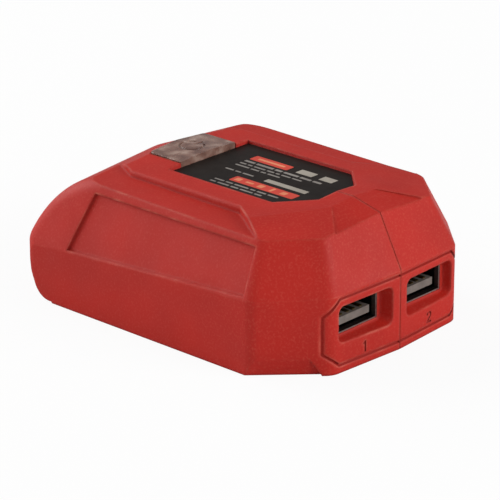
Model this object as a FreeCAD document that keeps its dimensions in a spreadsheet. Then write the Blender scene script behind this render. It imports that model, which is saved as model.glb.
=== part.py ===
import FreeCAD, Part
import os
import re
import Sketcher
from FreeCAD import Placement, Rotation, Vector

# A two-port USB charging adapter that slides onto a sliding tool battery pack.
# Millimetres. X runs to the right, Y from the ports (front) to the battery mouth (rear),
# Z up. The origin is at the middle of the underside.

# Driving dimensions: name, value, what it is. A value that starts with an equals sign is
# worked out from sizes above it.
DIMENSIONS = [
    # Outer form of the housing, whose corners are cut at about 45 degrees
    ("body_length", 91.0, "port face to tail"),
    ("nose_half", 21.95, "half width of the port face"),
    ("nose_sweep", 1.4, "how far the port face bends back at its sides"),
    ("waist_half", 35.3, "half width at the widest line"),
    ("shoulder_setback", 15.0, "port face to the side wall's front end"),
    ("tail_sweep", 0.4, "how far the tail wall bends forward at its sides"),
    ("waist_seam_height", 19.8, "widest line above the base, middle of the front"),
    ("waist_nose_height", 18.95, "the same at the port face's sides"),
    ("waist_shoulder_height", 18.25, "the same at the side walls' front ends"),
    ("waist_tail_height", 13.2, "the same at the tail, at its sides"),
    ("ridge_seam_setback", 6.5, "port face to the top ridge, in the middle"),
    ("ridge_nose_half", 18.7, "half width of the front ridge"),
    ("ridge_nose_setback", 6.8, "port face to the ends of the front ridge"),
    ("ridge_inset", 6.5, "widest line in to the side ridges"),
    ("ridge_half", "=waist_half - ridge_inset", "half width between the side ridges"),
    ("ridge_shoulder_setback", 17.3, "port face to the front ends of the side ridges"),
    ("tail_radius", 23.8, "radius of the curve from the top down to the tail"),
    ("tail_side_radius", 26.5, "radius of that curve at the sides"),
    ("tail_turn", 70.0, "degrees of that curve above its axis"),
    ("tail_lean", 22.0, "degrees by which the tail leans forward below the curve"),
    ("platform_top", 34.4, "height of the raised platform's flat top"),
    ("platform_rise", 2.2, "platform above the shelf round it, at the front"),
    ("crown_height", "=platform_top - platform_rise", "middle of the top shelf at the front"),
    ("crown_fall", 1.65, "fall of the shelf from the middle to the side ridge"),
    ("crown_rise", 1.1, "rise of the shelf from front to tail"),
    ("foot_tuck", 1.1, "depth of the chamfer under a cut corner, at the base"),
    ("foot_height", 4.2, "height of that chamfer"),
    ("foot_start", 1.0, "port face's side to the chamfer, at the base"),
    ("foot_spread", 2.8, "how much further out the chamfer starts at its top"),
    ("corner_round", 4.5, "edge radius of the upright corners"),
    ("base_round", 6.0, "radius under the tail"),
    ("base_dip", 0.4, "how far that curve would dip below the base"),
    # Raised platform on the top
    ("platform_half", 20.4, "half width of the platform"),
    ("platform_front_setback", 31.6, "port face to where the platform starts to widen"),
    ("platform_edge", 0.9, "edge radius of the platform"),
    ("platform_tail_cut", 4.0, "width of the cut rear corners of the platform"),
    ("platform_tail_setback", 24.0, "tail to the start of that cut"),
    ("cap_drop", 3.65, "platform's top down to the start of the corner slopes"),
    ("cap_foot", "=platform_top - cap_drop", "height of that start, at the shoulders"),
    ("cap_run", 22.2, "length of the corner slopes, along the body"),
    ("cap_turn", 1.35, "how far their foot runs forward for each step inwards"),
    ("brow_half", 7.5, "half width of the raised front facet at its top"),
    ("brow_setback", 14.7, "port face to the top of the front facet"),
    ("brow_drop", 3.6, "fall of the front facet down to the port face's plane"),
    ("brow_crown", 2.1, "fall of the facet there, over the brow's full section"),
    # Shell
    ("wall", 2.0, "wall of the housing"),
    ("slope_ratio", 1.12, "level width of a sloping wall over its thickness"),
    ("seam_gap", 0.14, "gap between the two housing halves"),
    ("groove_width", 0.6, "line engraved round the port face"),
    ("groove_depth", 0.6, "its depth"),
    ("groove_top", 18.9, "height of that line in the middle"),
    ("groove_foot", 1.7, "height of its lower run"),
    ("groove_half", 24.0, "half width of the line round the corners"),
    ("groove_cut_width", 3.9, "width of its cut corners"),
    ("groove_cut_top", 4.4, "height of its upper cut corners"),
    ("groove_cut_foot", 3.3, "height of its lower cut corners"),
    ("digit_height", 2.8, "port numbers sunk in the port face"),
    ("digit_foot", 2.9, "base to the foot of the numbers"),
    ("digit_depth", 0.35, "depth of the numbers"),
    ("panel_depth", 0.8, "depth of the recessed side panels"),
    ("panel_tail_setback", 21.0, "tail to the rear edge of a side panel"),
    ("panel_front_setback", 17.4, "port face to its front edge"),
    ("panel_top", 29.3, "its upper edge above the base"),
    ("panel_margin", 0.9, "its lower edge above the widest line"),
    ("panel_slant", 4.6, "how far its rear edge leans"),
    # Label
    ("label_half", 14.0, "half width of the label"),
    ("label_front_setback", 19.8, "port face to the label's front edge"),
    ("label_tail_setback", 30.3, "tail to the label's rear edge"),
    ("label_cut", 7.6, "cut corners of the label"),
    ("label_sink", 1.6, "label's face below the platform's top"),
    ("label_sheet", 0.25, "thickness of the label"),
    ("label_margin", 0.1, "gap between the label and its recess"),
    ("label_floor", 1.5, "housing wall below the label"),
    # Port openings and receptacles
    ("port_pitch", 23.0, "distance between the two ports"),
    ("port_height", 11.98, "middle of the ports above the base"),
    ("mouth_width", 18.2, "recess round a port, at the port face"),
    ("mouth_height", 9.6, "its height"),
    ("mouth_drop", 0.15, "middle of the recess below the middle of the port"),
    ("mouth_depth", 3.5, "port face plane to the recess floor"),
    ("mouth_draft", 0.8, "how far the recess walls close in at the floor"),
    ("mouth_round", 1.8, "corner radius of the recess"),
    ("bezel_wall", 1.7, "housing wall behind the recess floor"),
    ("receptacle_width", 13.2, "metal shell of a USB A receptacle"),
    ("receptacle_height", 5.9, "its height"),
    ("receptacle_length", 14.0, "its length"),
    ("receptacle_sheet", 0.3, "its sheet thickness"),
    ("lip_flare", 0.45, "how far its front lips flare"),
    ("lip_length", 0.9, "length of the flared lips"),
    ("receptacle_margin", 0.15, "gap between its lips and the housing"),
    ("tongue_width", 11.1, "plastic tongue that carries the contacts"),
    ("tongue_height", 1.84, "thickness of the tongue"),
    ("tongue_setback", 1.0, "receptacle mouth to the tongue"),
    ("tongue_drop", 1.05, "tongue below the middle of the receptacle"),
    ("insulator_length", 5.0, "block at the rear of the receptacle"),
    ("contact_width", 1.0, "spring contact on the tongue"),
    ("contact_sheet", 0.25, "its thickness"),
    ("contact_inner_pitch", 2.0, "between the two inner contacts"),
    ("contact_outer_pitch", 7.0, "between the two outer contacts"),
    ("contact_overhang", 0.5, "contact tail behind the receptacle"),
    ("contact_setback", 0.8, "tip of the tongue to the contacts"),
    ("leg_setback", 2.0, "rear of the receptacle to its soldered legs"),
    ("leg_length", 2.0, "length of those legs along the body"),
    # Channel for the battery pack
    ("neck_half", 22.0, "half width of the lower slot"),
    ("rail_half", 27.5, "half width above the rails"),
    ("rail_thickness", 4.0, "thickness of the rails"),
    ("channel_height", 12.0, "channel's ceiling above the base"),
    ("channel_stop", 25.5, "port face to the channel's front wall"),
    ("catch_half", 9.0, "half width of the pocket for the pack's catch"),
    ("catch_length", 6.0, "length of that pocket"),
    ("catch_depth", 1.2, "depth of that pocket"),
    ("catch_setback", 8.0, "tail to the pocket"),
    # Terminals
    ("terminal_half", 17.0, "half width of the terminal block"),
    ("terminal_length", 6.6, "length of the terminal block"),
    ("terminal_setback", 1.4, "channel's front wall to the terminal block"),
    ("terminal_drop", 7.2, "how far it hangs below the channel's ceiling"),
    ("terminal_flange", 1.2, "width of the flange that rests on the ceiling"),
    ("terminal_flange_height", 0.8, "thickness of that flange"),
    ("terminal_fit", 0.1, "gap round the terminal block"),
    ("blade_sheet", 0.8, "thickness of a terminal blade"),
    ("blade_height", 5.0, "height of a blade"),
    ("blade_reach", 12.0, "blade that stands out of the block"),
    ("blade_tail", 2.0, "width of the solder tail"),
    ("blade_pitch", 11.0, "distance between the blades"),
    # Circuit board
    ("board_thickness", 1.6, "circuit board"),
    ("board_half", 26.0, "half width of the board"),
    ("board_nose_half", 20.6, "half width between the cut front corners"),
    ("board_gap", 0.6, "bezel to the board's front edge"),
    ("board_tail_setback", 14.5, "tail to the board's rear edge"),
    ("solder_stub", 0.6, "tails above the board"),
    ("hole_margin", 0.15, "gap round a tail in the board"),
    ("standoff_radius", 2.6, "posts that carry the board"),
    ("standoff_half", 21.5, "middle of the body to the posts"),
    ("standoff_front", 6.0, "channel's front wall to the front posts"),
    ("standoff_tail", 5.0, "board's rear edge to the rear posts"),
    ("board_screw_radius", 1.0, "thread of the board screws"),
    ("board_screw_head", 1.9, "their head radius"),
    ("board_screw_head_height", 1.2, "their head height"),
    ("board_screw_bite", 1.9, "thread that enters the post"),
    # Power button and its switch
    ("button_half", 9.5, "half width of the button"),
    ("button_length", 10.8, "length of the button"),
    ("button_proud", 0.3, "button above the platform"),
    ("button_margin", 0.2, "gap round the button"),
    ("button_round", 1.4, "corner radius of the button"),
    ("symbol_radius", 3.3, "ring sunk in the top of the button"),
    ("symbol_line", 0.6, "width of its line"),
    ("symbol_depth", 0.25, "depth of its line"),
    ("button_wall", 1.5, "wall of the button"),
    ("button_flange", 1.1, "flange that holds the button in"),
    ("button_flange_height", 1.1, "height of that flange"),
    ("button_play", 0.05, "gap between the button's parts and what stops them"),
    ("stem_radius", 2.4, "stem under the button"),
    ("switch_half", 3.1, "half width of the tactile switch"),
    ("switch_height", 3.6, "height of its body"),
    ("switch_plate", 0.3, "metal cover of the switch"),
    ("plunger_radius", 1.75, "plunger of the switch"),
    ("plunger_height", 4.2, "plunger above the cover"),
    ("plunger_fit", 0.08, "gap round the plunger"),
    ("plunger_collar", 0.55, "width of the collar that keeps the plunger in"),
    ("plunger_collar_height", 0.4, "height of that collar"),
    ("plunger_well", 1.2, "depth of the well that holds the collar"),
    ("foot_width", 0.7, "soldered feet of the switch"),
    ("foot_reach", 1.0, "how far the feet stand out"),
    ("foot_rise", 1.4, "height of the feet on the switch's side"),
    ("foot_pitch", 4.5, "distance between the feet on one side"),
    ("foot_sheet", 0.2, "thickness of the feet"),
    # Screws that join the two halves, driven from the right
    ("boss_radius", 3.1, "screw bosses inside the housing"),
    ("well_radius", 2.9, "wells for the screw heads"),
    ("well_wall", 1.2, "wall round a well"),
    ("well_floor", 8.0, "seam to the floor of a well"),
    ("screw_radius", 1.3, "thread of the housing screws"),
    ("screw_length", 16.0, "length of the screws under the head"),
    ("screw_head_radius", 2.4, "head of the housing screws"),
    ("screw_head_height", 1.8, "height of that head"),
    ("screw_slack", 0.25, "gap round the thread in the right half"),
    ("screw_tip_gap", 0.6, "bore beyond the screw's tip"),
    ("driver_width", 0.7, "slots of the driver cross"),
    ("driver_reach", 0.6, "half length of the slots, as a share of the head's radius"),
    ("driver_depth", 0.9, "depth of the driver cross"),
    ("upper_boss_setback", 23.0, "port face to the upper front boss"),
    ("upper_boss_height", 23.8, "its height above the base"),
    ("tail_boss_setback", 14.5, "tail to the rear boss"),
    ("tail_boss_height", 21.6, "its height above the base"),
    ("lower_boss_setback", 20.2, "port face to the lower front boss"),
    ("lower_boss_height", 4.6, "its height above the base"),
    # Electronics on the board
    ("capacitor_radius", 4.0, "electrolytic capacitor"),
    ("capacitor_height", 9.6, "its height with the rubber foot"),
    ("capacitor_foot", 0.8, "its rubber foot"),
    ("capacitor_pitch", 9.2, "between the two electrolytic capacitors"),
    ("capacitor_offset", 16.5, "middle of the board to the capacitors"),
    ("capacitor_y", 2.0, "middle of the body to the first capacitor"),
    ("coil_radius", 6.0, "power inductor"),
    ("coil_height", 6.4, "its height"),
    ("coil_flange", 1.1, "its ferrite flanges"),
    ("coil_wire", 1.6, "depth of its winding"),
    ("coil_x", 14.0, "middle of the board to the inductor"),
    ("coil_y", 4.0, "middle of the body to the inductor"),
    ("chip_height", 1.5, "integrated circuits"),
    ("chip_length", 4.9, "converter chip along the body"),
    ("chip_width", 3.9, "converter chip across the body"),
    ("converter_x", 2.0, "middle of the board to the converter chip"),
    ("converter_y", 2.0, "middle of the body to the converter chip"),
    ("port_chip_side", 3.0, "port control chips"),
    ("port_chip_setback", 10.5, "port face to the port control chips"),
    ("ceramic_length", 2.0, "ceramic capacitors"),
    ("ceramic_width", 1.25, "their width"),
    ("ceramic_height", 0.9, "their height"),
    ("ceramic_pitch", 2.4, "between two of them"),
    ("ceramic_input_y", -4.0, "middle of the body to those at the input"),
    ("ceramic_output_y", 9.0, "middle of the body to those at the output"),
    ("diode_length", 4.4, "rectifier diode"),
    ("diode_width", 3.6, "its width"),
    ("diode_height", 2.2, "its height"),
    ("diode_y", 14.0, "middle of the body to the diode"),
    ("fuse_length", 6.0, "input fuse"),
    ("fuse_width", 2.6, "its width and height"),
    ("fuse_y", -10.0, "middle of the body to the fuse"),
    ("led_side", 1.6, "status lights under the button"),
    ("led_height", 0.8, "their height"),
    ("led_offset", 6.4, "middle of the body to each of them"),
]

ALIASES = {name for name, value, meaning in DIMENSIONS}

doc = FreeCAD.newDocument("UsbAdapter")
sheet = doc.addObject("Spreadsheet::Sheet", "sizes")
for row, (name, value, meaning) in enumerate(DIMENSIONS, start=1):
    sheet.set(f"A{row}", str(value))
    sheet.setAlias(f"A{row}", name)
    sheet.set(f"B{row}", meaning)
doc.recompute()

# Planes that the whole model measures from
FRONT = "(-body_length / 2)"
TAIL = "(body_length / 2)"
BEYOND = "(body_length)"
UPRIGHT = {
    "x": Rotation(Vector(0, 1, 0), 90),
    "y": Rotation(Vector(1, 0, 0), -90),
    "z": Rotation(),
}
SKETCH_TURN = {
    "xy": Rotation(),
    "xz": Rotation(Vector(1, 0, 0), 90),
    "yz": Rotation(Vector(1, 1, 1), 120),
}
SKETCH_AXIS = {"xy": ("z", ""), "xz": ("y", ""), "yz": ("x", "")}
pieces = []


def formula(text):
    """A formula in which each dimension's name points at its cell."""
    def cell(word):
        return "sizes." + word.group() if word.group() in ALIASES else word.group()
    return re.sub(r"[a-z][a-z_]+", cell, text)


def bind(thing, path, text):
    thing.setExpression(path, formula(text))


def keep(name, thing):
    """Make a shape a finished piece with its own name."""
    thing.Label = name
    pieces.append(thing)
    return thing


def block(name, low, high):
    """A box between two corners."""
    box = doc.addObject("Part::Box", name)
    for size, axis, start, end in zip(("Length", "Width", "Height"), "xyz", low, high):
        bind(box, size, f"({end}) - ({start})")
        bind(box, f"Placement.Base.{axis}", start)
    return box


def rod(name, radius, base, length, axis="z"):
    """A cylinder that starts at base and runs along an axis."""
    cylinder = doc.addObject("Part::Cylinder", name)
    cylinder.Placement = Placement(Vector(), UPRIGHT[axis])
    bind(cylinder, "Radius", radius)
    bind(cylinder, "Height", length)
    for direction, start in zip("xyz", base):
        bind(cylinder, f"Placement.Base.{direction}", start)
    return cylinder


def measure(text):
    """What a formula comes to."""
    return float(sheet.evalExpression(formula(text)))


def draw(sketch, points, arcs=None):
    """A closed outline through points, each a pair of formulas. An edge whose number is in
    arcs is an arc round the centre given there."""
    first = sketch.GeometryCount
    count = len(points)
    corners = [Vector(measure(x), measure(y), 0) for x, y in points]
    centres = arcs or {}
    for index, start in enumerate(corners):
        end = corners[(index + 1) % count]
        if index in centres:
            centre = Vector(*(measure(place) for place in centres[index]), 0)
            circle = Part.Circle(centre, Vector(0, 0, 1), (start - centre).Length)
            edge = Part.ArcOfCircle(circle, circle.parameter(start), circle.parameter(end))
        else:
            edge = Part.LineSegment(start, end)
        sketch.addGeometry(edge, False)
    for index in range(count):
        line = first + index
        after = first + (index + 1) % count
        sketch.addConstraint(Sketcher.Constraint("Coincident", line, 2, after, 1))
    for index, point in enumerate(points):
        for kind, place in zip(("DistanceX", "DistanceY"), point):
            hold(sketch, kind, first + index, 1, place)
    for index, centre in centres.items():
        hold(sketch, "DistanceX", first + index, 3, centre[0])


def hold(sketch, kind, item, point, place):
    """Fixes one coordinate of a point in a sketch."""
    distance = Sketcher.Constraint(kind, -1, 1, item, point, measure(place))
    number = sketch.addConstraint(distance)
    bind(sketch, f"Constraints[{number}]", place)


def draw_circle(sketch, centre, radius):
    middle = Vector(measure(centre[0]), measure(centre[1]), 0)
    form = Part.Circle(middle, Vector(0, 0, 1), measure(radius))
    circle = sketch.addGeometry(form, False)
    for kind, place in zip(("DistanceX", "DistanceY"), centre):
        hold(sketch, kind, circle, 3, place)
    number = sketch.addConstraint(Sketcher.Constraint("Radius", circle, measure(radius)))
    bind(sketch, f"Constraints[{number}]", radius)


def outline(name, points, level="0", plane="xy", arcs=None):
    """A closed outline on a plane at a level."""
    sketch = doc.addObject("Sketcher::SketchObject", name)
    sketch.Placement = Placement(Vector(), SKETCH_TURN[plane])
    axis = SKETCH_AXIS[plane][0]
    bind(sketch, f"Placement.Base.{axis}", level)
    draw(sketch, points, arcs)
    return sketch


def prism(name, sketch, length, both_ways=False):
    """A sketch pushed along its own normal, or half of the length each way."""
    solid = doc.addObject("Part::Extrusion", name)
    solid.Base = sketch
    solid.DirMode = "Normal"
    solid.Symmetric = both_ways
    solid.Solid = True
    bind(solid, "LengthFwd", length)
    return solid


def loft(name, sections):
    """A solid with straight sides between outlines."""
    solid = doc.addObject("Part::Loft", name)
    solid.Sections = sections
    solid.Solid = True
    solid.Ruled = True
    return solid


def fuse(name, shapes):
    joined = doc.addObject("Part::MultiFuse", name)
    joined.Shapes = shapes
    return joined


def common(name, shapes):
    shared = doc.addObject("Part::MultiCommon", name)
    shared.Shapes = shapes
    return shared


def cut(name, base, tools):
    """Base without its tools."""
    tool = tools[0] if len(tools) == 1 else fuse(f"{name}_tools", tools)
    rest = doc.addObject("Part::Cut", name)
    rest.Base = base
    rest.Tool = tool
    return rest


def moved(name, thing, x="0", y="0", z="0"):
    """A copy of a shape at another place."""
    copy = doc.addObject("Part::Compound", name)
    copy.Links = [thing]
    for axis, distance in zip("xyz", (x, y, z)):
        bind(copy, f"Placement.Base.{axis}", distance)
    return copy


def group(name, shapes):
    """Several like solids that share one node."""
    together = doc.addObject("Part::Compound", name)
    together.Links = shapes
    return together


def round_edges(name, base, choices):
    """Fillets, as pairs of a test on an edge and a radius."""
    doc.recompute()
    fillet = doc.addObject("Part::Fillet", name)
    fillet.Base = base
    chosen = []
    for number, edge in enumerate(base.Shape.Edges, start=1):
        for wanted, radius in choices:
            if wanted(edge):
                chosen.append((number, radius, radius))
                break
    fillet.Edges = chosen
    return fillet


def rises(edge):
    """True for an edge that climbs."""
    ends = [vertex.Point for vertex in edge.Vertexes]
    return len(ends) == 2 and abs(ends[0].z - ends[1].z) > 0.5


def size(name):
    """A dimension's value, for the tests that choose edges."""
    return getattr(sheet, name)


def mirrored(points):
    """An outline from its right half, listed from front to rear."""
    left = [(f"-({x})", y) for x, y in reversed(points) if x != "0"]
    return points + left


# Outer form. Eight corner lines run from the widest line up to the ridge. Each is given
# by its lower and its upper point, and lengthened past both, so that flat faces between
# them make the sloping upper walls.

def crown(x, y):
    """Height of the top shelf, which falls to the sides and rises to the tail."""
    rise = f"crown_rise * (({y}) + body_length / 2) / body_length"
    return f"(crown_height - crown_fall * ({x}) / ridge_half + {rise})"


def corner_line(low, high):
    return {"low": low, "high": high}


RIDGE_SHOULDER = f"({FRONT} + ridge_shoulder_setback)"
RIDGE_NOSE = f"({FRONT} + ridge_nose_setback)"
RIDGE_SEAM = f"({FRONT} + ridge_seam_setback)"
BEHIND = f"({TAIL} + wall)"
NOSE = f"({FRONT} + nose_sweep)"
SHOULDER = f"({FRONT} + shoulder_setback)"
TAIL_SIDE = f"({TAIL} - tail_sweep)"
CORNERS = [
    corner_line(("0", FRONT, "waist_seam_height"),
                ("0", RIDGE_SEAM, crown("0", RIDGE_SEAM))),
    corner_line(("nose_half", NOSE, "waist_nose_height"),
                ("ridge_nose_half", RIDGE_NOSE, crown("ridge_nose_half", RIDGE_NOSE))),
    corner_line(("waist_half", SHOULDER, "waist_shoulder_height"),
                ("ridge_half", RIDGE_SHOULDER, crown("ridge_half", RIDGE_SHOULDER))),
    corner_line(("waist_half", BEHIND, "waist_tail_height"),
                ("ridge_half", BEHIND, crown("ridge_half", BEHIND))),
    corner_line(("0", BEHIND, "waist_tail_height"), ("0", BEHIND, crown("0", BEHIND))),
]
LOW_LEVEL = "(-wall)"
HIGH_LEVEL = "(platform_top + wall)"


def at_level(line, level):
    """Where a corner line passes a level."""
    (low_x, low_y, low_z), (high_x, high_y, high_z) = line["low"], line["high"]
    share = f"(({level}) - ({low_z})) / (({high_z}) - ({low_z}))"
    x = "0" if low_x == "0" else f"{low_x} + ({high_x} - {low_x}) * {share}"
    return x, f"{low_y} + ({high_y} - {low_y}) * {share}"


def slope_outline(name, level):
    return outline(name, mirrored([at_level(line, level) for line in CORNERS]), level)


PLAN = mirrored([
    ("0", FRONT),
    ("nose_half", NOSE),
    ("waist_half", SHOULDER),
    ("waist_half", TAIL_SIDE),
    ("0", TAIL),
])
low_slope = slope_outline("low_slope", LOW_LEVEL)
high_slope = slope_outline("high_slope", HIGH_LEVEL)


def drawn_in(name, sketch, distance):
    """An outline moved inwards by a distance."""
    inner = doc.addObject("Part::Offset2D", name)
    inner.Source = sketch
    inner.Join = "Intersection"
    bind(inner, "Value", f"-({distance})")
    return inner


def rounded(name, sketch, radius):
    """An outline with rounded corners."""
    soft = doc.addObject("Part::Offset2D", name)
    soft.Source = drawn_in(f"{name}_core", sketch, radius)
    soft.Join = "Arc"
    bind(soft, "Value", radius)
    return soft


foot_plan = outline("foot_plan", PLAN)
top_plan = outline("top_plan", PLAN, HIGH_LEVEL)
lower_form = loft("lower_form", [
    rounded("foot_outline", foot_plan, "corner_round"),
    rounded("top_outline", top_plan, "corner_round"),
])


def climbs_at_corner(edge):
    return rises(edge) and abs(edge.CenterOfMass.x) > size("brow_half")


# The tail: a curve from the top down to the waist, lower and further forward at the sides,
# a wall that leans forward below it, and a small curve into the base
SIDE = "(waist_half + wall)"
SIDE_FALL = f"(crown_fall * {SIDE} / ridge_half)"
SIDE_SWEEP = f"(tail_sweep * {SIDE} / waist_half)"
TURN = "(tail_turn * 1 deg)"
LEAN = "(tail_lean * 1 deg)"


def tail_section(name, x, radius, sweep="0", fall="0"):
    """The body from the side, closed by the tail."""
    waist_y, waist_z = f"({TAIL} - {sweep})", f"(waist_tail_height + {SIDE_FALL} - {fall})"
    z = f"(platform_top - {fall} - {radius})"
    y = f"({waist_y} - sqrt({radius} ^ 2 - ({waist_z} - {z}) ^ 2))"
    curve_y, curve_z = f"({y} + {radius} * cos({TURN}))", f"({z} + {radius} * sin({TURN}))"
    top = f"({z} + {radius} + 2 * wall)"
    base_z = "(base_round - base_dip)"
    lean_z = f"({base_z} - base_round * sin({LEAN}))"
    lean_y = f"({waist_y} - ({waist_z} - {lean_z}) * tan({LEAN}))"
    base_y = f"({lean_y} - base_round * cos({LEAN}))"
    return outline(name, [
        (f"-{BEYOND}", "-2 * wall"),
        (base_y, "-2 * wall"),
        (base_y, "-base_dip"),
        (lean_y, lean_z),
        (waist_y, waist_z),
        (curve_y, curve_z),
        (f"{curve_y} - ({top} - {curve_z}) * tan({TURN})", top),
        (f"-{BEYOND}", top),
    ], x, "yz", {2: (base_y, base_z), 4: (y, z)})


tail_form = loft("tail_form", [
    tail_section("tail_left", f"-{SIDE}", "tail_side_radius", SIDE_SWEEP, SIDE_FALL),
    tail_section("tail_middle", "0", "tail_radius"),
    tail_section("tail_right", SIDE, "tail_side_radius", SIDE_SWEEP, SIDE_FALL),
])
upper_sharp = common("upper_sharp", [loft("upper_walls", [low_slope, high_slope]), tail_form])
upper_form = round_edges("upper_form", upper_sharp, [(climbs_at_corner, size("corner_round"))])


# The top: a slightly roof-shaped shelf, a raised platform whose front corners slope down
# to the ridge, and a facet in the middle of the front.

def roof_outline(name, y, wide, peak, eaves):
    """A gabled section across the body."""
    return outline(name, [(f"-({wide})", "-wall"), (wide, "-wall"), (wide, eaves),
                          ("0", peak), (f"-({wide})", eaves)], y, "xz")


SHELF_HALF = "(waist_half + wall)"
SHELF_FRONT = f"({FRONT} - wall)"
SHELF_TAIL = f"({TAIL} + wall)"
shelf = loft("shelf", [
    roof_outline("shelf_front", SHELF_FRONT, SHELF_HALF,
                 crown("0", SHELF_FRONT), crown(SHELF_HALF, SHELF_FRONT)),
    roof_outline("shelf_tail", SHELF_TAIL, SHELF_HALF,
                 crown("0", SHELF_TAIL), crown(SHELF_HALF, SHELF_TAIL)),
])

CUT_SLOPE = "((ridge_nose_setback - ridge_shoulder_setback) / (ridge_nose_half - ridge_half))"


def corner_y(x, slope):
    """Y of a line through the end of the side ridge, at any x."""
    return f"({RIDGE_SHOULDER} + (({x}) - ridge_half) * {slope})"


def cap_outline(name, level, slope, shift):
    """A level line across the corner slopes, through the shoulders or behind them."""
    wide = "(ridge_half + 3 * wall)"
    return outline(name, mirrored([
        ("0", f"{corner_y('0', slope)} + {shift}"),
        (wide, f"{corner_y(wide, slope)} + {shift}"),
        (wide, BEYOND),
    ]), level)


platform_plan = outline("platform_plan", mirrored([
    ("ridge_half + 2 * wall", f"{FRONT} - wall"),
    ("ridge_half + 2 * wall", f"{RIDGE_SHOULDER} + wall"),
    ("ridge_half - wall / 4", f"{RIDGE_SHOULDER} + wall"),
    ("platform_half", f"{FRONT} + platform_front_setback"),
    ("platform_half", f"{TAIL} - platform_tail_setback"),
    ("platform_half - platform_tail_cut", f"{TAIL} - platform_tail_setback + 2 * platform_tail_cut"),
    ("platform_half - platform_tail_cut", TAIL),
]))
platform_cap = loft("platform_cap", [
    cap_outline("cap_low", "cap_foot", "cap_turn", "0"),
    cap_outline("cap_high", "platform_top", CUT_SLOPE, "cap_run"),
])
ROOF_EAVES = f"(platform_top - crown_fall * {SHELF_HALF} / ridge_half)"
platform_roof = loft("platform_roof", [
    roof_outline("roof_front", SHELF_FRONT, SHELF_HALF, "platform_top", ROOF_EAVES),
    roof_outline("roof_tail", SHELF_TAIL, SHELF_HALF, "platform_top", ROOF_EAVES),
])
platform_sharp = common("platform_sharp", [
    prism("platform_walls", platform_plan, HIGH_LEVEL),
    platform_cap,
    platform_roof,
])


def platform_rim(edge):
    """The long upper edges at the platform's sides."""
    beside = abs(abs(edge.CenterOfMass.x) - size("platform_half")) < size("platform_edge")
    above = edge.BoundBox.ZMin > size("platform_top") - size("crown_fall")
    return beside and above and not rises(edge)


platform = round_edges("platform", platform_sharp, [(platform_rim, size("platform_edge"))])

BROW_TOP = f"({FRONT} + brow_setback)"
BROW_REAR = f"({BROW_TOP} + 2 * wall)"
BROW_FALL = "(brow_drop * (brow_setback + wall) / brow_setback)"
brow_plan = outline("brow_plan", mirrored([
    ("brow_half + brow_setback - ridge_seam_setback + wall", f"{FRONT} - wall"),
    ("brow_half + brow_setback - ridge_seam_setback + wall", f"{RIDGE_SEAM} - wall"),
    ("brow_half", BROW_TOP),
    ("brow_half", BROW_REAR),
]))
BROW_WIDE = "(3 * brow_half)"
BROW_EAVES = f"(platform_top - crown_fall * {BROW_WIDE} / ridge_half)"
brow_cap = loft("brow_cap", [
    roof_outline("brow_rear", BROW_REAR, BROW_WIDE, "platform_top", BROW_EAVES),
    roof_outline("brow_crest", BROW_TOP, BROW_WIDE, "platform_top", BROW_EAVES),
    roof_outline("brow_foot", f"{FRONT} - wall", BROW_WIDE, f"platform_top - {BROW_FALL}",
                 f"platform_top - {BROW_FALL} - brow_crown"),
])
brow_walls = prism("brow_walls", brow_plan, HIGH_LEVEL)
brow = common("brow", [brow_walls, brow_cap])
top_form = fuse("top_form", [shelf, cut("platform_behind", platform, [brow_walls]), brow])
outer_form = common("outer_form", [lower_form, upper_form, top_form])


# Hollow of the housing: the same forms drawn in by the wall. The jacket round the battery
# channel stays solid, and so do the floor and the bezel behind the ports.

SLOPING_WALL = "(slope_ratio * wall)"
STOP = f"({FRONT} + channel_stop)"
MOUTH_FLOOR = f"({FRONT} + mouth_depth)"
BEZEL_REAR = f"({MOUTH_FLOOR} + bezel_wall)"
LABEL_SEAT = "(platform_top - label_sink - label_sheet)"
VOID_TOP = f"({LABEL_SEAT} - label_floor)"
LABEL_FRONT = f"({FRONT} + label_front_setback)"
LABEL_TAIL = f"({TAIL} - label_tail_setback)"
CEILING_TOP = "(channel_height + wall)"

hollow_walls = loft("hollow_walls", [
    drawn_in("hollow_foot", foot_plan, "wall"),
    drawn_in("hollow_top", top_plan, "wall"),
])
hollow_slopes = loft("hollow_slopes", [
    drawn_in("hollow_low_slope", low_slope, SLOPING_WALL),
    drawn_in("hollow_high_slope", high_slope, SLOPING_WALL),
])
hollow_roof = fuse("hollow_roof", [
    moved("hollow_shelf", shelf, z="-wall"),
    block("hollow_platform",
          ("-(platform_half - wall)", f"{LABEL_FRONT} + label_cut", "0"),
          ("platform_half - wall", TAIL, VOID_TOP)),
])
above_floor = block("above_floor", ("-body_length", "-body_length", "wall"),
                    ("body_length", "body_length", "body_length"))
jacket = block("channel_jacket", ("-(rail_half + wall)", f"{STOP} - wall", "0"),
               ("rail_half + wall", BEYOND, CEILING_TOP))
hollow_tail = moved("hollow_tail", tail_form, y="-wall", z="-wall")
hollow_lean = moved("hollow_lean", tail_form, y=f"-{SLOPING_WALL}")
inside = common("inside", [hollow_walls, hollow_slopes, hollow_roof, above_floor, hollow_tail,
                           hollow_lean])
hollow = cut("hollow", inside, [jacket])

# Solid features inside the housing

MOUTH_HALF = "(mouth_width / 2)"
bezel = block("bezel", (f"-(port_pitch / 2 + {MOUTH_HALF} + wall)", FRONT, "0"),
              (f"port_pitch / 2 + {MOUTH_HALF} + wall", BEZEL_REAR,
               "port_height + mouth_height / 2 + wall"))

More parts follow.
